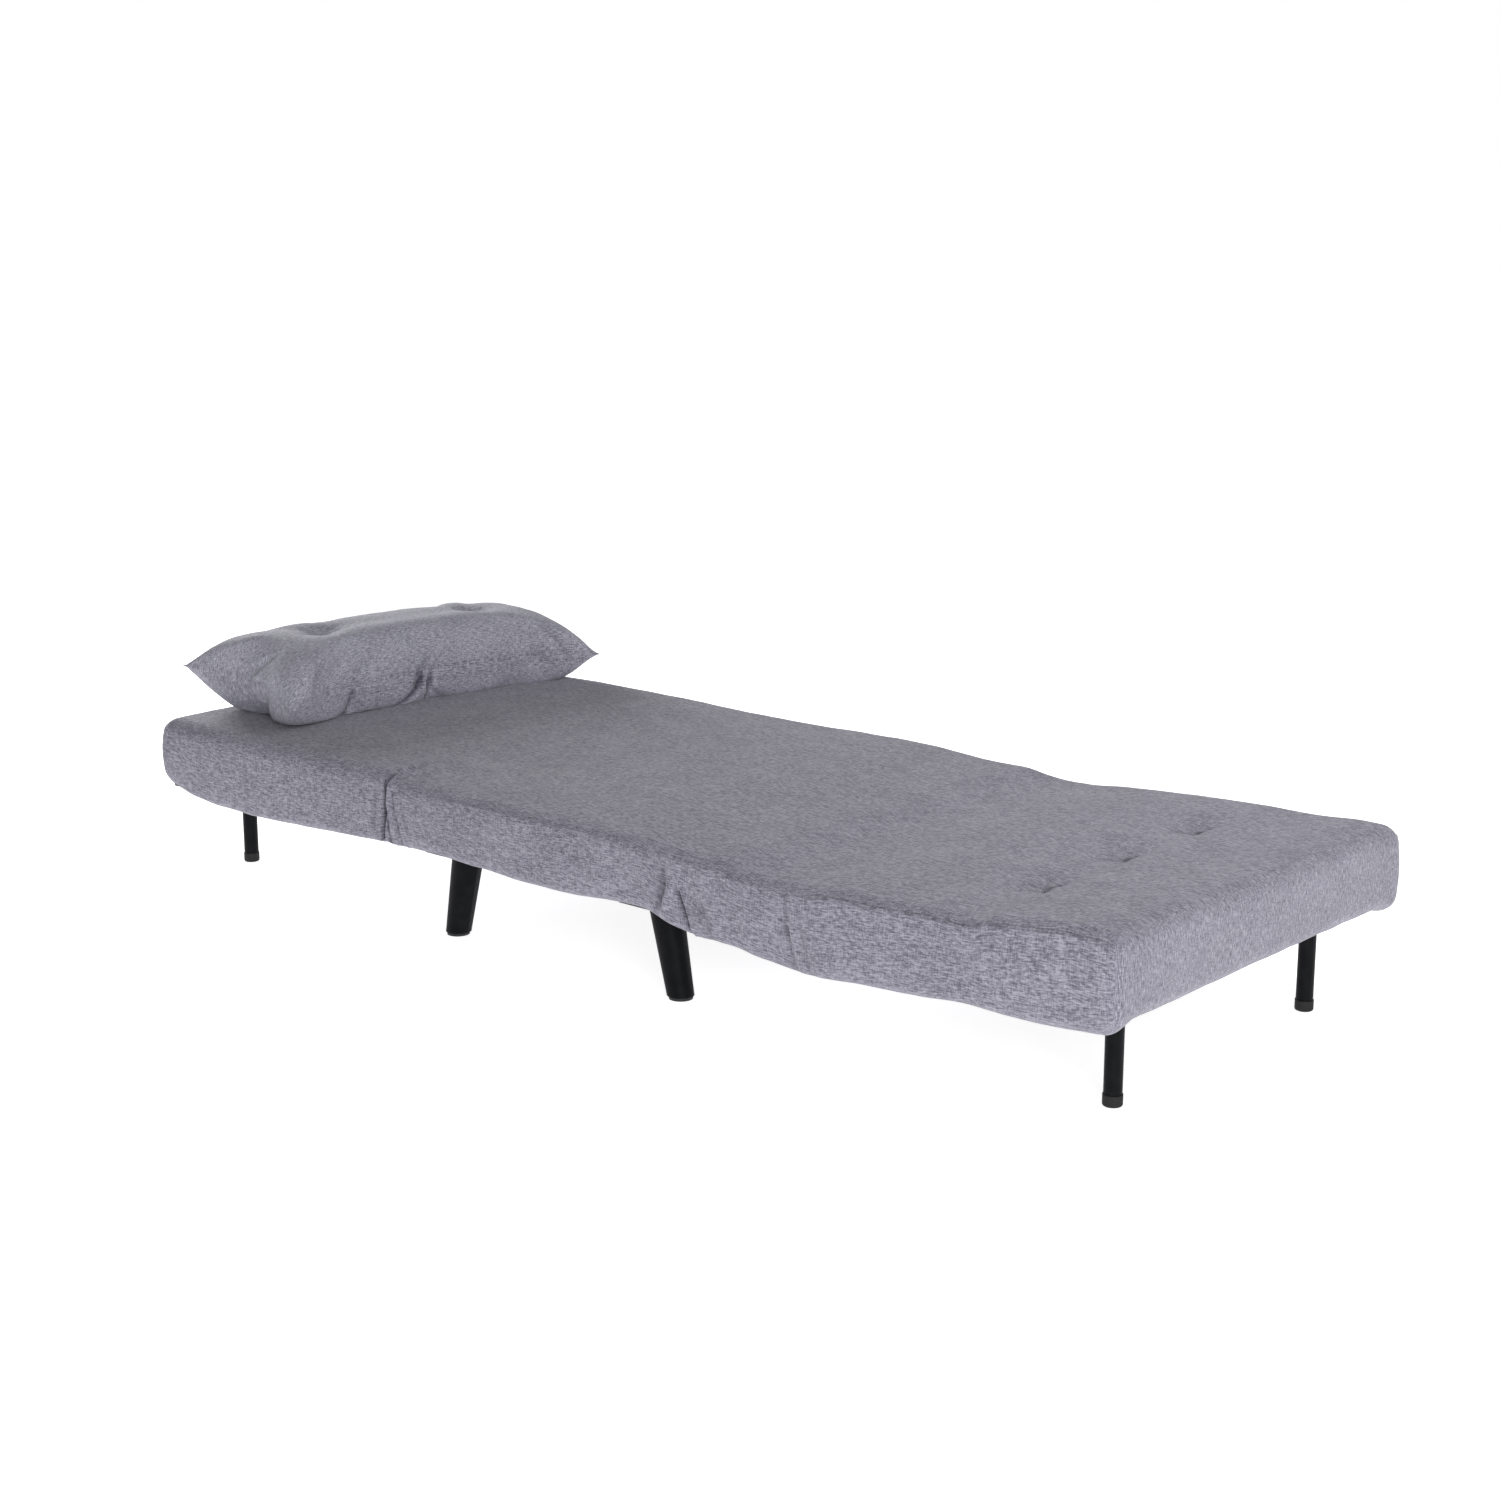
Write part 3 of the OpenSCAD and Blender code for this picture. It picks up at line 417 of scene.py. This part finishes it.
def stitches(name, seams, length=5.2, pitch=7.5, radius=0.55):
    """Rows of thread stitches along seams given as lattice block paths."""
    points, faces = [], []
    for start, end in seams:
        start, end = np.array(start, float), np.array(end, float)
        count = int(np.linalg.norm(end - start) / pitch)
        for i in range(count):
            ts = (i + np.linspace(0.15, 0.15 + length / pitch, 4)) / count
            block = start + (end - start) * ts[:, None]
            path = shape(block, 0.25)[0]
            path[[0, -1]] = shape(block[[0, -1]], -0.5)[0]
            ring, quads = tube(path, radius)
            faces += [tuple(c + sum(map(len, points)) for c in q) for q in quads]
            points.append(ring)
    return new_mesh(name, np.concatenate(points), faces)


# ---------------------------------------------------------------- the pillow

PILLOW_L, PILLOW_W, PILLOW_H = 756.0, 370.0, 196.0
PILLOW_MIDDLE = (-832.0, 40.0)
PILLOW_TURN = math.radians(-3.4)
PILLOW_TIP = (math.radians(7.5), math.radians(2.0))  # lean to the near side at its left and right end
BED_Z, PILLOW_SINK = 266.0, 38.0
PILLOW_CROWN, PILLOW_ROOM = 130.0, 20.0              # height over the bed where the crown levels off, and room above
PILLOW_GRID = (61, 127)                              # points across and along each panel
PILLOW_FULLNESS = 0.72                               # power that squares up the filled profile, 1 for none
FLAT_SOFT = 11.0                                     # height over which the underside turns flat
FILLING_FRAMES = 24
TUFTS = (-166.0, 168.0)                              # places along the pillow
TUFT_FOLDS = 9                                       # short folds round each tuft
NEAR_VALLEY, FAR_VALLEY, UNDER_SHARE = 0.12, 0.5, 0.05  # depth of the tufts' valleys by side, as shares
PILLOW_FOLDS = (                                     # along the pillow, and down from its near seam
    ((-26, 4), (-92, 78), 4.5, 11.0), ((4, 4), (-12, 70), 4.5, 8.5), ((-34, 0), (-12, -26), 6, 3.0),
    ((-176, 10), (-214, 100), 5, 7.0), ((-300, -10), (-262, -60), 8, 2.5),
    ((300, -8), (262, -58), 8, 2.5))


def pillow_mesh():
    """Two square-cornered panels sewn round the edge, as a flat envelope with a little loft."""
    n, m = PILLOW_GRID
    u, v = np.linspace(-1, 1, n), np.linspace(-1, 1, m)
    gu, gv = np.meshgrid(u, v, indexing="ij")
    loft = 24 * ((1 - gu ** 2) * (1 - gv ** 2)) ** 0.6
    flat = np.stack([gu * PILLOW_W / 2, gv * PILLOW_L / 2, loft], 2)
    rim = (np.abs(gu) == 1) | (np.abs(gv) == 1)
    index = np.arange(n * m).reshape(n, m)
    below = np.where(rim, index, index + n * m)
    points = np.concatenate([flat.reshape(-1, 3), (flat * (1, 1, -1)).reshape(-1, 3)])
    faces, weave = [], []
    for grid, flip, panel in ((index, 1, 0.0), (below, -1, 60.0)):
        quads = np.stack([grid[:-1, :-1], grid[1:, :-1], grid[1:, 1:], grid[:-1, 1:]], -1)
        quads = quads.reshape(-1, 4)[:, ::flip]
        faces.append(quads)
        spots = flat.reshape(-1, 3)[quads % (n * m)]
        weave.append(np.stack([spots[..., 1], spots[..., 0], np.full(spots.shape[:2], panel)], 2))
    faces = np.concatenate(faces)
    used, faces = np.unique(faces, return_inverse=True)
    return points[used], faces.reshape(-1, 4), np.concatenate(weave)


def inflate(piece, frames):
    """Fills the envelope with Blender's cloth pressure."""
    cloth = piece.modifiers.new("cloth", "CLOTH")
    s = cloth.settings
    s.quality = 6
    s.mass = 0.25
    s.tension_stiffness = s.compression_stiffness = 25
    s.shear_stiffness = 6
    s.bending_stiffness = 0.4
    s.use_pressure = True
    s.uniform_pressure_force = 5.0
    s.effector_weights.gravity = 0
    cloth.point_cache.frame_start, cloth.point_cache.frame_end = 1, frames
    scene = bpy.context.scene
    for f in range(1, frames + 1):
        scene.frame_set(f)
    depsgraph = bpy.context.evaluated_depsgraph_get()
    blown = np.empty(len(piece.data.vertices) * 3, np.float32)
    piece.evaluated_get(depsgraph).data.vertices.foreach_get("co", blown)
    piece.modifiers.clear()
    scene.frame_set(1)
    return blown.reshape(-1, 3) / MM


def eased(piece, blown, flat):
    """Takes the pinched ears out of the corners by averaging neighbours there."""
    a, b = np.array([e.vertices for e in piece.data.edges]).T
    near = smooth((np.abs(flat[:, 0]) / PILLOW_W * 2 + np.abs(flat[:, 1]) / PILLOW_L * 2 - 1.25) / 0.35)
    inset = np.minimum(PILLOW_W / 2 - np.abs(flat[:, 0]), PILLOW_L / 2 - np.abs(flat[:, 1]))
    share = (0.6 * near * (inset > 0))[:, None]
    for _ in range(30):
        total, count = np.zeros_like(blown), np.zeros((len(blown), 1))
        for here, there in ((a, b), (b, a)):
            np.add.at(total, here, blown[there])
            np.add.at(count, here, 1)
        blown = blown + share * (total / count - blown)
    return blown


def put(piece, points):
    """Moves the piece's points."""
    piece.data.vertices.foreach_set("co", (points * MM).astype(np.float32).ravel())
    piece.data.update()


def tufted(piece, blown, flat):
    """Sinks the tufts and adds the folds and the sewn edge, with painted shade in the folds and along the sewn edge.
    """
    put(piece, blown)
    normal = np.empty(len(flat) * 3, np.float32)
    piece.data.vertex_normals.foreach_get("vector", normal)
    normal = normal.reshape(-1, 3)
    fx, fy, above = flat[:, 0], flat[:, 1], flat[:, 2] >= 0
    inset = np.minimum(PILLOW_W / 2 - np.abs(fx), PILLOW_L / 2 - np.abs(fy))
    room = smooth(inset / 60)
    dip = 7 * hump(fx, 0, 26) * smooth((250 - np.abs(fy)) / 60)
    for i, place in enumerate(TUFTS):
        deep = 15 - 2 * i
        far = np.hypot(fx, fy - place)
        dip += deep * np.exp(-far / 24)
        for slant in (-0.75, 0.75):
            for side in (-1, 1):
                off = (fy - place) - slant * np.abs(fx)
                share = NEAR_VALLEY if side > 0 else FAR_VALLEY
                dip += (fx * side > 0) * deep * share * hump(off, 0, 30) * np.exp(-far / 220) * smooth(far / 30)
        for k in range(TUFT_FOLDS):
            angle = 0.35 + k * 2 * math.pi / TUFT_FOLDS
            end = (math.cos(angle) * (34 + 9 * (k % 3)), place + math.sin(angle) * (34 + 9 * (k % 2)))
            dip -= fold(fx, fy, (0, place), end, 3.5, 2.2)
    push = -dip * room * np.where(above, 1.0, UNDER_SHARE)
    down = np.where(above, -1, 1) * (PILLOW_W / 2 - fx)
    dent = -1.6 * hump(inset, 4.5, 2.5)
    for start, end, width, depth in PILLOW_FOLDS:
        dent += fold(fy, down, start, end, width, depth)
    push += dent
    rim = np.where(np.abs(fx) / PILLOW_W > np.abs(fy) / PILLOW_L, fy, fx)
    push += 0.8 * np.sin(rim / 4.2 + 2.5 * np.sin(rim / 37)) * hump(inset, 9, 8)
    push += 1.4 * ripple(flat + (0, 0, 40) * above[:, None], 46, 6) * smooth(inset / 25)
    # painted shade: darkness in the folds and along the sewn edge, stored as the crease attribute
    piece.data.attributes.new("crease", "FLOAT", "POINT").data.foreach_set(
        "value", np.clip(-dent / 7, 0, 1).astype(np.float32))
    return blown + normal * push[:, None]


def settle(points):
    """Tips, turns and drops the filled pillow on the bed, where its underside goes flat."""
    x, y, z = points.T
    tip = np.interp(y, (-PILLOW_L / 2, PILLOW_L / 2), PILLOW_TIP)
    c, s = np.cos(tip), np.sin(tip)
    x, z = x * c + z * s, z * c - x * s
    c, s = math.cos(PILLOW_TURN), math.sin(PILLOW_TURN)
    x, y = x * c - y * s, x * s + y * c
    z = z - z.min() - PILLOW_SINK
    z = np.where(z < FLAT_SOFT, FLAT_SOFT * np.exp(np.minimum(z - FLAT_SOFT, 0) / FLAT_SOFT), z)
    full = z - PILLOW_CROWN
    z = np.where(full > 0, PILLOW_CROWN + PILLOW_ROOM * np.tanh(full / PILLOW_ROOM), z)
    return np.stack([x + PILLOW_MIDDLE[0], y + PILLOW_MIDDLE[1], z + BED_Z], 1)


points, faces, pillow_weave = pillow_mesh()
pillow = new_mesh("pillow_cushion", points, faces)
add_weave(pillow, pillow_weave)
blown = inflate(pillow, FILLING_FRAMES)
full = np.abs(blown[:, 2]) / np.abs(blown[:, 2]).max()
blown[:, 2] = np.sign(blown[:, 2]) * PILLOW_H / 2 * full ** PILLOW_FULLNESS
blown = eased(pillow, blown, points)
put(pillow, settle(tufted(pillow, blown, points)))
pillow.modifiers.new("fine", "SUBSURF").levels = 1


# ---------------------------------------------------------------- materials

BAND_SCALE = 0.314                                   # scale of a wave texture with one band per unit


class Look:
    """Builds one node material."""

    def __init__(self, name, rough, metal=0.0, **sockets):
        self.mat = bpy.data.materials.new(name)
        self.mat.use_nodes = True
        self.nodes, self.links = self.mat.node_tree.nodes, self.mat.node_tree.links
        self.shader = self.nodes["Principled BSDF"]
        self.shader.inputs["Roughness"].default_value = rough
        self.shader.inputs["Metallic"].default_value = metal
        for key, value in sockets.items():
            self.shader.inputs[key.replace("_", " ")].default_value = value

    def add(self, kind, **values):
        node = self.nodes.new("ShaderNode" + kind)
        for key, value in values.items():
            if hasattr(node, key):
                setattr(node, key, value)
            else:
                node.inputs[key.replace("_", " ")].default_value = value
        return node

    def link(self, a, b):
        """Joins an output to an input."""
        self.links.new(a, b)

    def place(self, woven):
        """Where the pattern is read: on the unrolled cloth, or in the object."""
        if woven:
            return self.add("Attribute", attribute_name="weave").outputs["Vector"]
        return self.add("TexCoord").outputs["Object"]

    def grain(self, source, size, detail=2.0, rough=0.5):
        """Noise with cells of the given size along X, Y and Z, in millimetres."""
        mapping = self.add("Mapping")
        mapping.inputs["Scale"].default_value = tuple(1 / (s * MM) for s in size)
        self.link(source, mapping.inputs["Vector"])
        tex = self.add("TexNoise", Scale=1.0, Detail=detail, Roughness=rough)
        self.link(mapping.outputs["Vector"], tex.inputs["Vector"])
        return tex.outputs["Fac"]

    def threads(self, source, pitch, axis):
        """Bands of yarn at the given pitch, in millimetres."""
        mapping = self.add("Mapping")
        mapping.inputs["Scale"].default_value = (1 / MM,) * 3
        self.link(source, mapping.inputs["Vector"])
        wave = self.add("TexWave", bands_direction=axis, Scale=BAND_SCALE / pitch, Distortion=1.2, Detail=1.0)
        self.link(mapping.outputs["Vector"], wave.inputs["Vector"])
        return wave.outputs["Fac"]

    def mix(self, a, b, share):
        node = self.add("Mix", data_type="FLOAT")
        node.inputs["Factor"].default_value = share
        self.link(a, node.inputs["A"])
        self.link(b, node.inputs["B"])
        return node.outputs["Result"]

    def ramp(self, source, *steps):
        node = self.add("ValToRGB")
        ramp = node.color_ramp
        while len(ramp.elements) < len(steps):
            ramp.elements.new(0.5)
        for element, (at, colour) in zip(ramp.elements, steps):
            element.position, element.color = at, (*colour, 1)
        self.link(source, node.inputs["Fac"])
        return node.outputs["Color"]

    def colour(self, output):
        self.link(output, self.shader.inputs["Base Color"])

    def rough(self, source, low, high):
        node = self.add("MapRange")
        node.inputs["To Min"].default_value, node.inputs["To Max"].default_value = low, high
        self.link(source, node.inputs["Value"])
        self.link(node.outputs["Result"], self.shader.inputs["Roughness"])

    def bump(self, source, height_mm, strength=1.0):
        node = self.add("Bump", Strength=strength, Distance=height_mm * MM)
        self.link(source, node.inputs["Height"])
        if self.shader.inputs["Normal"].is_linked:
            self.link(self.shader.inputs["Normal"].links[0].from_socket, node.inputs["Normal"])
        self.link(node.outputs["Normal"], self.shader.inputs["Normal"])


def srgb(r, g, b):
    """Linear colour from 0 to 255 screen values."""
    return tuple(((c / 255 + 0.055) / 1.055) ** 2.4 for c in (r, g, b))


YARN = 1.1                                           # pitch of the linen's yarns


def linen(name, dark, middle, light):
    """Heathered grey linen: slubs along the cloth, finer threads across it, and a plain weave, with painted shade
    multiplied in from the crease attribute.
    """
    look = Look(name, 0.92, Sheen_Weight=0.25, Sheen_Roughness=0.45)
    look.shader.inputs["Specular IOR Level"].default_value = 0.2
    at = look.place(True)
    slubs = look.grain(at, (10, 1.7, 30), 3.0, 0.66)
    crossing = look.grain(at, (2.0, 8.0, 30), 2.0, 0.6)
    cloudy = look.grain(at, (70, 50, 30), 2.0, 0.5)
    mixed = look.mix(look.mix(slubs, crossing, 0.30), cloudy, 0.07)
    cloth = look.ramp(mixed, (0.395, dark), (0.50, middle), (0.605, light))
    # painted shade: the creases, seams and tuft pinches are darkened by multiplying in a grey
    painted_crease_shade = look.add("Mix", data_type="RGBA", blend_type="MULTIPLY")
    look.link(look.add("Attribute", attribute_name="crease").outputs["Fac"], painted_crease_shade.inputs["Factor"])
    look.link(cloth, painted_crease_shade.inputs["A"])
    # colour of the painted shade in the creases and seams
    painted_crease_shade.inputs["B"].default_value = (*srgb(120, 118, 124), 1)
    look.colour(painted_crease_shade.outputs["Result"])
    look.rough(crossing, 0.86, 0.97)
    weft, warp = look.threads(at, YARN, "X"), look.threads(at, YARN, "Y")
    look.bump(look.mix(weft, warp, 0.5), 0.28, 0.7)
    look.bump(slubs, 0.5, 0.6)
    return look.mat


def smooth_solid(name, base, spread, rough, metal=0.0, size=9.0, bump=0.02, grain=0.8, **sockets):
    """Painted, moulded or plated surface with slight mottling, rubbed lighter in places."""
    look = Look(name, rough, metal, **sockets)
    at = look.place(False)
    broad, fine = look.grain(at, (size,) * 3, 3.0), look.grain(at, (grain,) * 3, 2.0)
    lighter = tuple(min(1, c + spread) for c in base)
    darker = tuple(max(0, c - spread * 0.6) for c in base)
    look.colour(look.ramp(look.mix(broad, fine, 0.4), (0.35, darker), (0.52, base), (0.72, lighter)))
    look.rough(broad, max(0.05, rough - 0.08), min(1, rough + 0.1))
    look.bump(fine, bump, 0.8)
    return look.mat


def brushed(name, base, rough):
    """Bright metal with fine lines along X."""
    look = Look(name, rough, 1.0)
    at = look.place(False)
    lines, broad = look.grain(at, (24, 0.7, 0.7), 2.0), look.grain(at, (14, 14, 14), 2.0)
    mixed = look.mix(lines, broad, 0.35)
    darker, lighter = (tuple(c * k for c in base) for k in (0.8, 1.15))
    look.colour(look.ramp(mixed, (0.3, darker), (0.5, base), (0.7, lighter)))
    look.rough(mixed, rough - 0.07, rough + 0.12)
    look.bump(lines, 0.02, 0.7)
    return look.mat


def plywood(name):
    """Pale wood with its grain along Y."""
    look = Look(name, 0.55)
    at = look.place(False)
    rings = look.grain(at, (2.2, 90, 2.2), 4.0, 0.6)
    pores = look.grain(at, (0.6, 14, 0.6), 2.0)
    mixed = look.mix(rings, pores, 0.3)
    look.colour(look.ramp(mixed, (0.3, srgb(176, 138, 92)), (0.5, srgb(206, 172, 124)), (0.7, srgb(222, 194, 150))))
    look.rough(rings, 0.45, 0.65)
    look.bump(pores, 0.06, 0.7)
    return look.mat


def nonwoven(name, dark, light, woven):
    """Pressed fibre cloth or crumbly foam."""
    look = Look(name, 0.95, Sheen_Weight=0.1)
    at = look.place(woven)
    fibres, dots = look.grain(at, (3, 1, 2), 3.0), look.grain(at, (1.2,) * 3, 2.0)
    look.colour(look.ramp(look.mix(fibres, dots, 0.5), (0.35, dark), (0.65, light)))
    look.rough(dots, 0.88, 0.98)
    look.bump(dots, 0.3, 0.8)
    return look.mat


COVER = linen("cover_linen", srgb(99, 97, 110), srgb(138, 136, 149), srgb(172, 170, 183))
PILLOW = linen("pillow_linen", srgb(116, 115, 127), srgb(162, 161, 174), srgb(202, 201, 214))
LINING = nonwoven("black_nonwoven_lining", srgb(26, 26, 29), srgb(48, 48, 52), True)
THREAD = smooth_solid("grey_thread", srgb(128, 126, 138), 0.06, 0.85, size=4, bump=0.05, grain=0.4)
LOOKS = {
    "cover_cloth": COVER, "pillow_cloth": PILLOW, "lining_cloth": LINING,
    "thread": THREAD,
    "foam": nonwoven("foam_block", srgb(214, 202, 160), srgb(232, 224, 190), False),
    "pillow_fibre": nonwoven("polyester_fibre", srgb(226, 226, 224), srgb(244, 244, 242), False),
    "frame_steel": smooth_solid("powder_coated_frame", srgb(38, 38, 41), 0.012, 0.5, size=12, bump=0.03),
    "leg_tube_steel": smooth_solid("satin_black_tube", srgb(17, 18, 21), 0.004, 0.42, size=16, bump=0.02,
                                   Specular_IOR_Level=0.08),
    "leg_plastic": smooth_solid("satin_black_leg", srgb(15, 16, 19), 0.004, 0.46, size=20, bump=0.02,
                                Specular_IOR_Level=0.08),
    "hinge_steel": smooth_solid("dark_zinc_hinge", srgb(92, 92, 94), 0.05, 0.42, 0.85, size=7),
    "zinc_steel": brushed("bright_zinc", srgb(196, 197, 196), 0.32),
    "slat_wood": plywood("birch_slats"),
    "black_plastic": smooth_solid("black_moulded_plastic", srgb(22, 22, 24), 0.01, 0.5, size=8, bump=0.04),
    "white_plastic": smooth_solid("white_nylon", srgb(226, 226, 222), 0.04, 0.4, size=8),
    "cap_rubber": smooth_solid("black_rubber", srgb(18, 18, 19), 0.008, 0.72, size=6, bump=0.06),
}
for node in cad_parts.values():
    for slot in node.material_slots:
        slot_name = slot.material.name.split(".")[0]
        if slot_name in LOOKS:
            slot.material = LOOKS[slot_name]

for piece, look in ((seat_cover, COVER), (back_cover, COVER), (pillow, PILLOW),
                    (seat_lining, LINING), (back_lining, LINING)):
    piece.data.materials.append(look)

# Rows of stitches below the long top edges: piece, body, and its ends along the bed
for name, body, first, last in (("seat_seam_stitches", "seat", FOLD + 40, GUSSET - 8),
                                ("back_seam_stitches", "back", BACK + 12, RIGHT - 34)):
    level = PAD - SEAM_DROP
    piece = stitches(name, [((first, s * HALF, level), (last, s * HALF, level)) for s in (-1, 1)])
    piece.data.materials.append(THREAD)
    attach(piece, body)

# ---------------------------------------------------------------- what moves with what
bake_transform(seat_cover)
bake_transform(back_cover)
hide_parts("front_cover", "front_foam", "front_under_pad", "front_dust_cloth", "seat_cover", "seat_foam")
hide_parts("back_cover", "back_foam")
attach(seat_lining, "seat")
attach(back_lining, "back")
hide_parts("seat_dust_cloth")
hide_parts("back_dust_cloth")
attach(pillow, "pillow")
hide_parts("pillow_cover", "pillow_filling", "pillow_ties")

# ---------------------------------------------------------------- floor, lights and camera
FLOOR_HALF = 60.0                                    # metres
FLOOR_GLOW = 0.84
WORLD_GLOW = 0.26                                    # light of the world on the object; the camera sees it as white
SENSOR = 36.0
SOFTBOXES = {                                        # place, aim, size and power
    "front_softbox": ((3.1, -2.5, 1.1), (0.2, 0, 0.2), 1.6, 58),
    "back_left_softbox": ((-2.9, 0.7, 1.0), (0.6, 0, 0.25), 1.1, 62),
    "top_softbox": ((1.25, 0.7, 1.85), (0.8, 0, 0.25), 1.0, 15),
}

floor_mesh = bpy.data.meshes.new("studio_floor")
floor_mesh.from_pydata([(sx * FLOOR_HALF, sy * FLOOR_HALF, 0) for sx, sy in ((-1, -1), (1, -1), (1, 1), (-1, 1))],
                       [], [(0, 1, 2, 3)])
floor = bpy.data.objects.new("studio_floor", floor_mesh)
bpy.context.scene.collection.objects.link(floor)
floor_look = Look("pale_floor", 0.9)
floor_look.shader.inputs["Base Color"].default_value = (0.8, 0.8, 0.8, 1)
floor_look.shader.inputs["Emission Color"].default_value = (1, 1, 1, 1)
floor_look.shader.inputs["Emission Strength"].default_value = FLOOR_GLOW
floor_look.shader.inputs["Specular IOR Level"].default_value = 0.1
floor_mesh.materials.append(floor_look.mat)

world = bpy.data.worlds.new("studio")
world.use_nodes = True
background = world.node_tree.nodes["Background"]
background.inputs["Color"].default_value = (1.0, 1.0, 1.0, 1)
seen = world.node_tree.nodes.new("ShaderNodeLightPath")
level = world.node_tree.nodes.new("ShaderNodeMapRange")
level.inputs["To Min"].default_value, level.inputs["To Max"].default_value = WORLD_GLOW, 1.0
world.node_tree.links.new(seen.outputs["Is Camera Ray"], level.inputs["Value"])
world.node_tree.links.new(level.outputs["Result"], background.inputs["Strength"])
bpy.context.scene.world = world


def softbox(name, at, aim, size, power):
    """A round area lamp pointed at a place."""
    lamp = bpy.data.lights.new(name, "AREA")
    lamp.shape, lamp.size, lamp.energy = "DISK", size, power
    thing = bpy.data.objects.new(name, lamp)
    thing.location = at
    thing.rotation_euler = (Vector(aim) - Vector(at)).to_track_quat("-Z", "Y").to_euler()
    bpy.context.scene.collection.objects.link(thing)


for name, settings in SOFTBOXES.items():
    softbox(name, *settings)

lens = bpy.data.cameras.new("camera")
lens.lens, lens.sensor_width = LENS, SENSOR
camera = bpy.data.objects.new("camera", lens)
turned = zip(CAMERA_RIGHT, CAMERA_UP, CAMERA_BACK)
camera.matrix_world = Matrix([(*row, at) for row, at in zip(turned, CAMERA_AT)] + [(0, 0, 0, 1)])
bpy.context.scene.collection.objects.link(camera)
bpy.context.scene.camera = camera
bpy.context.scene.view_settings.view_transform = "Standard"
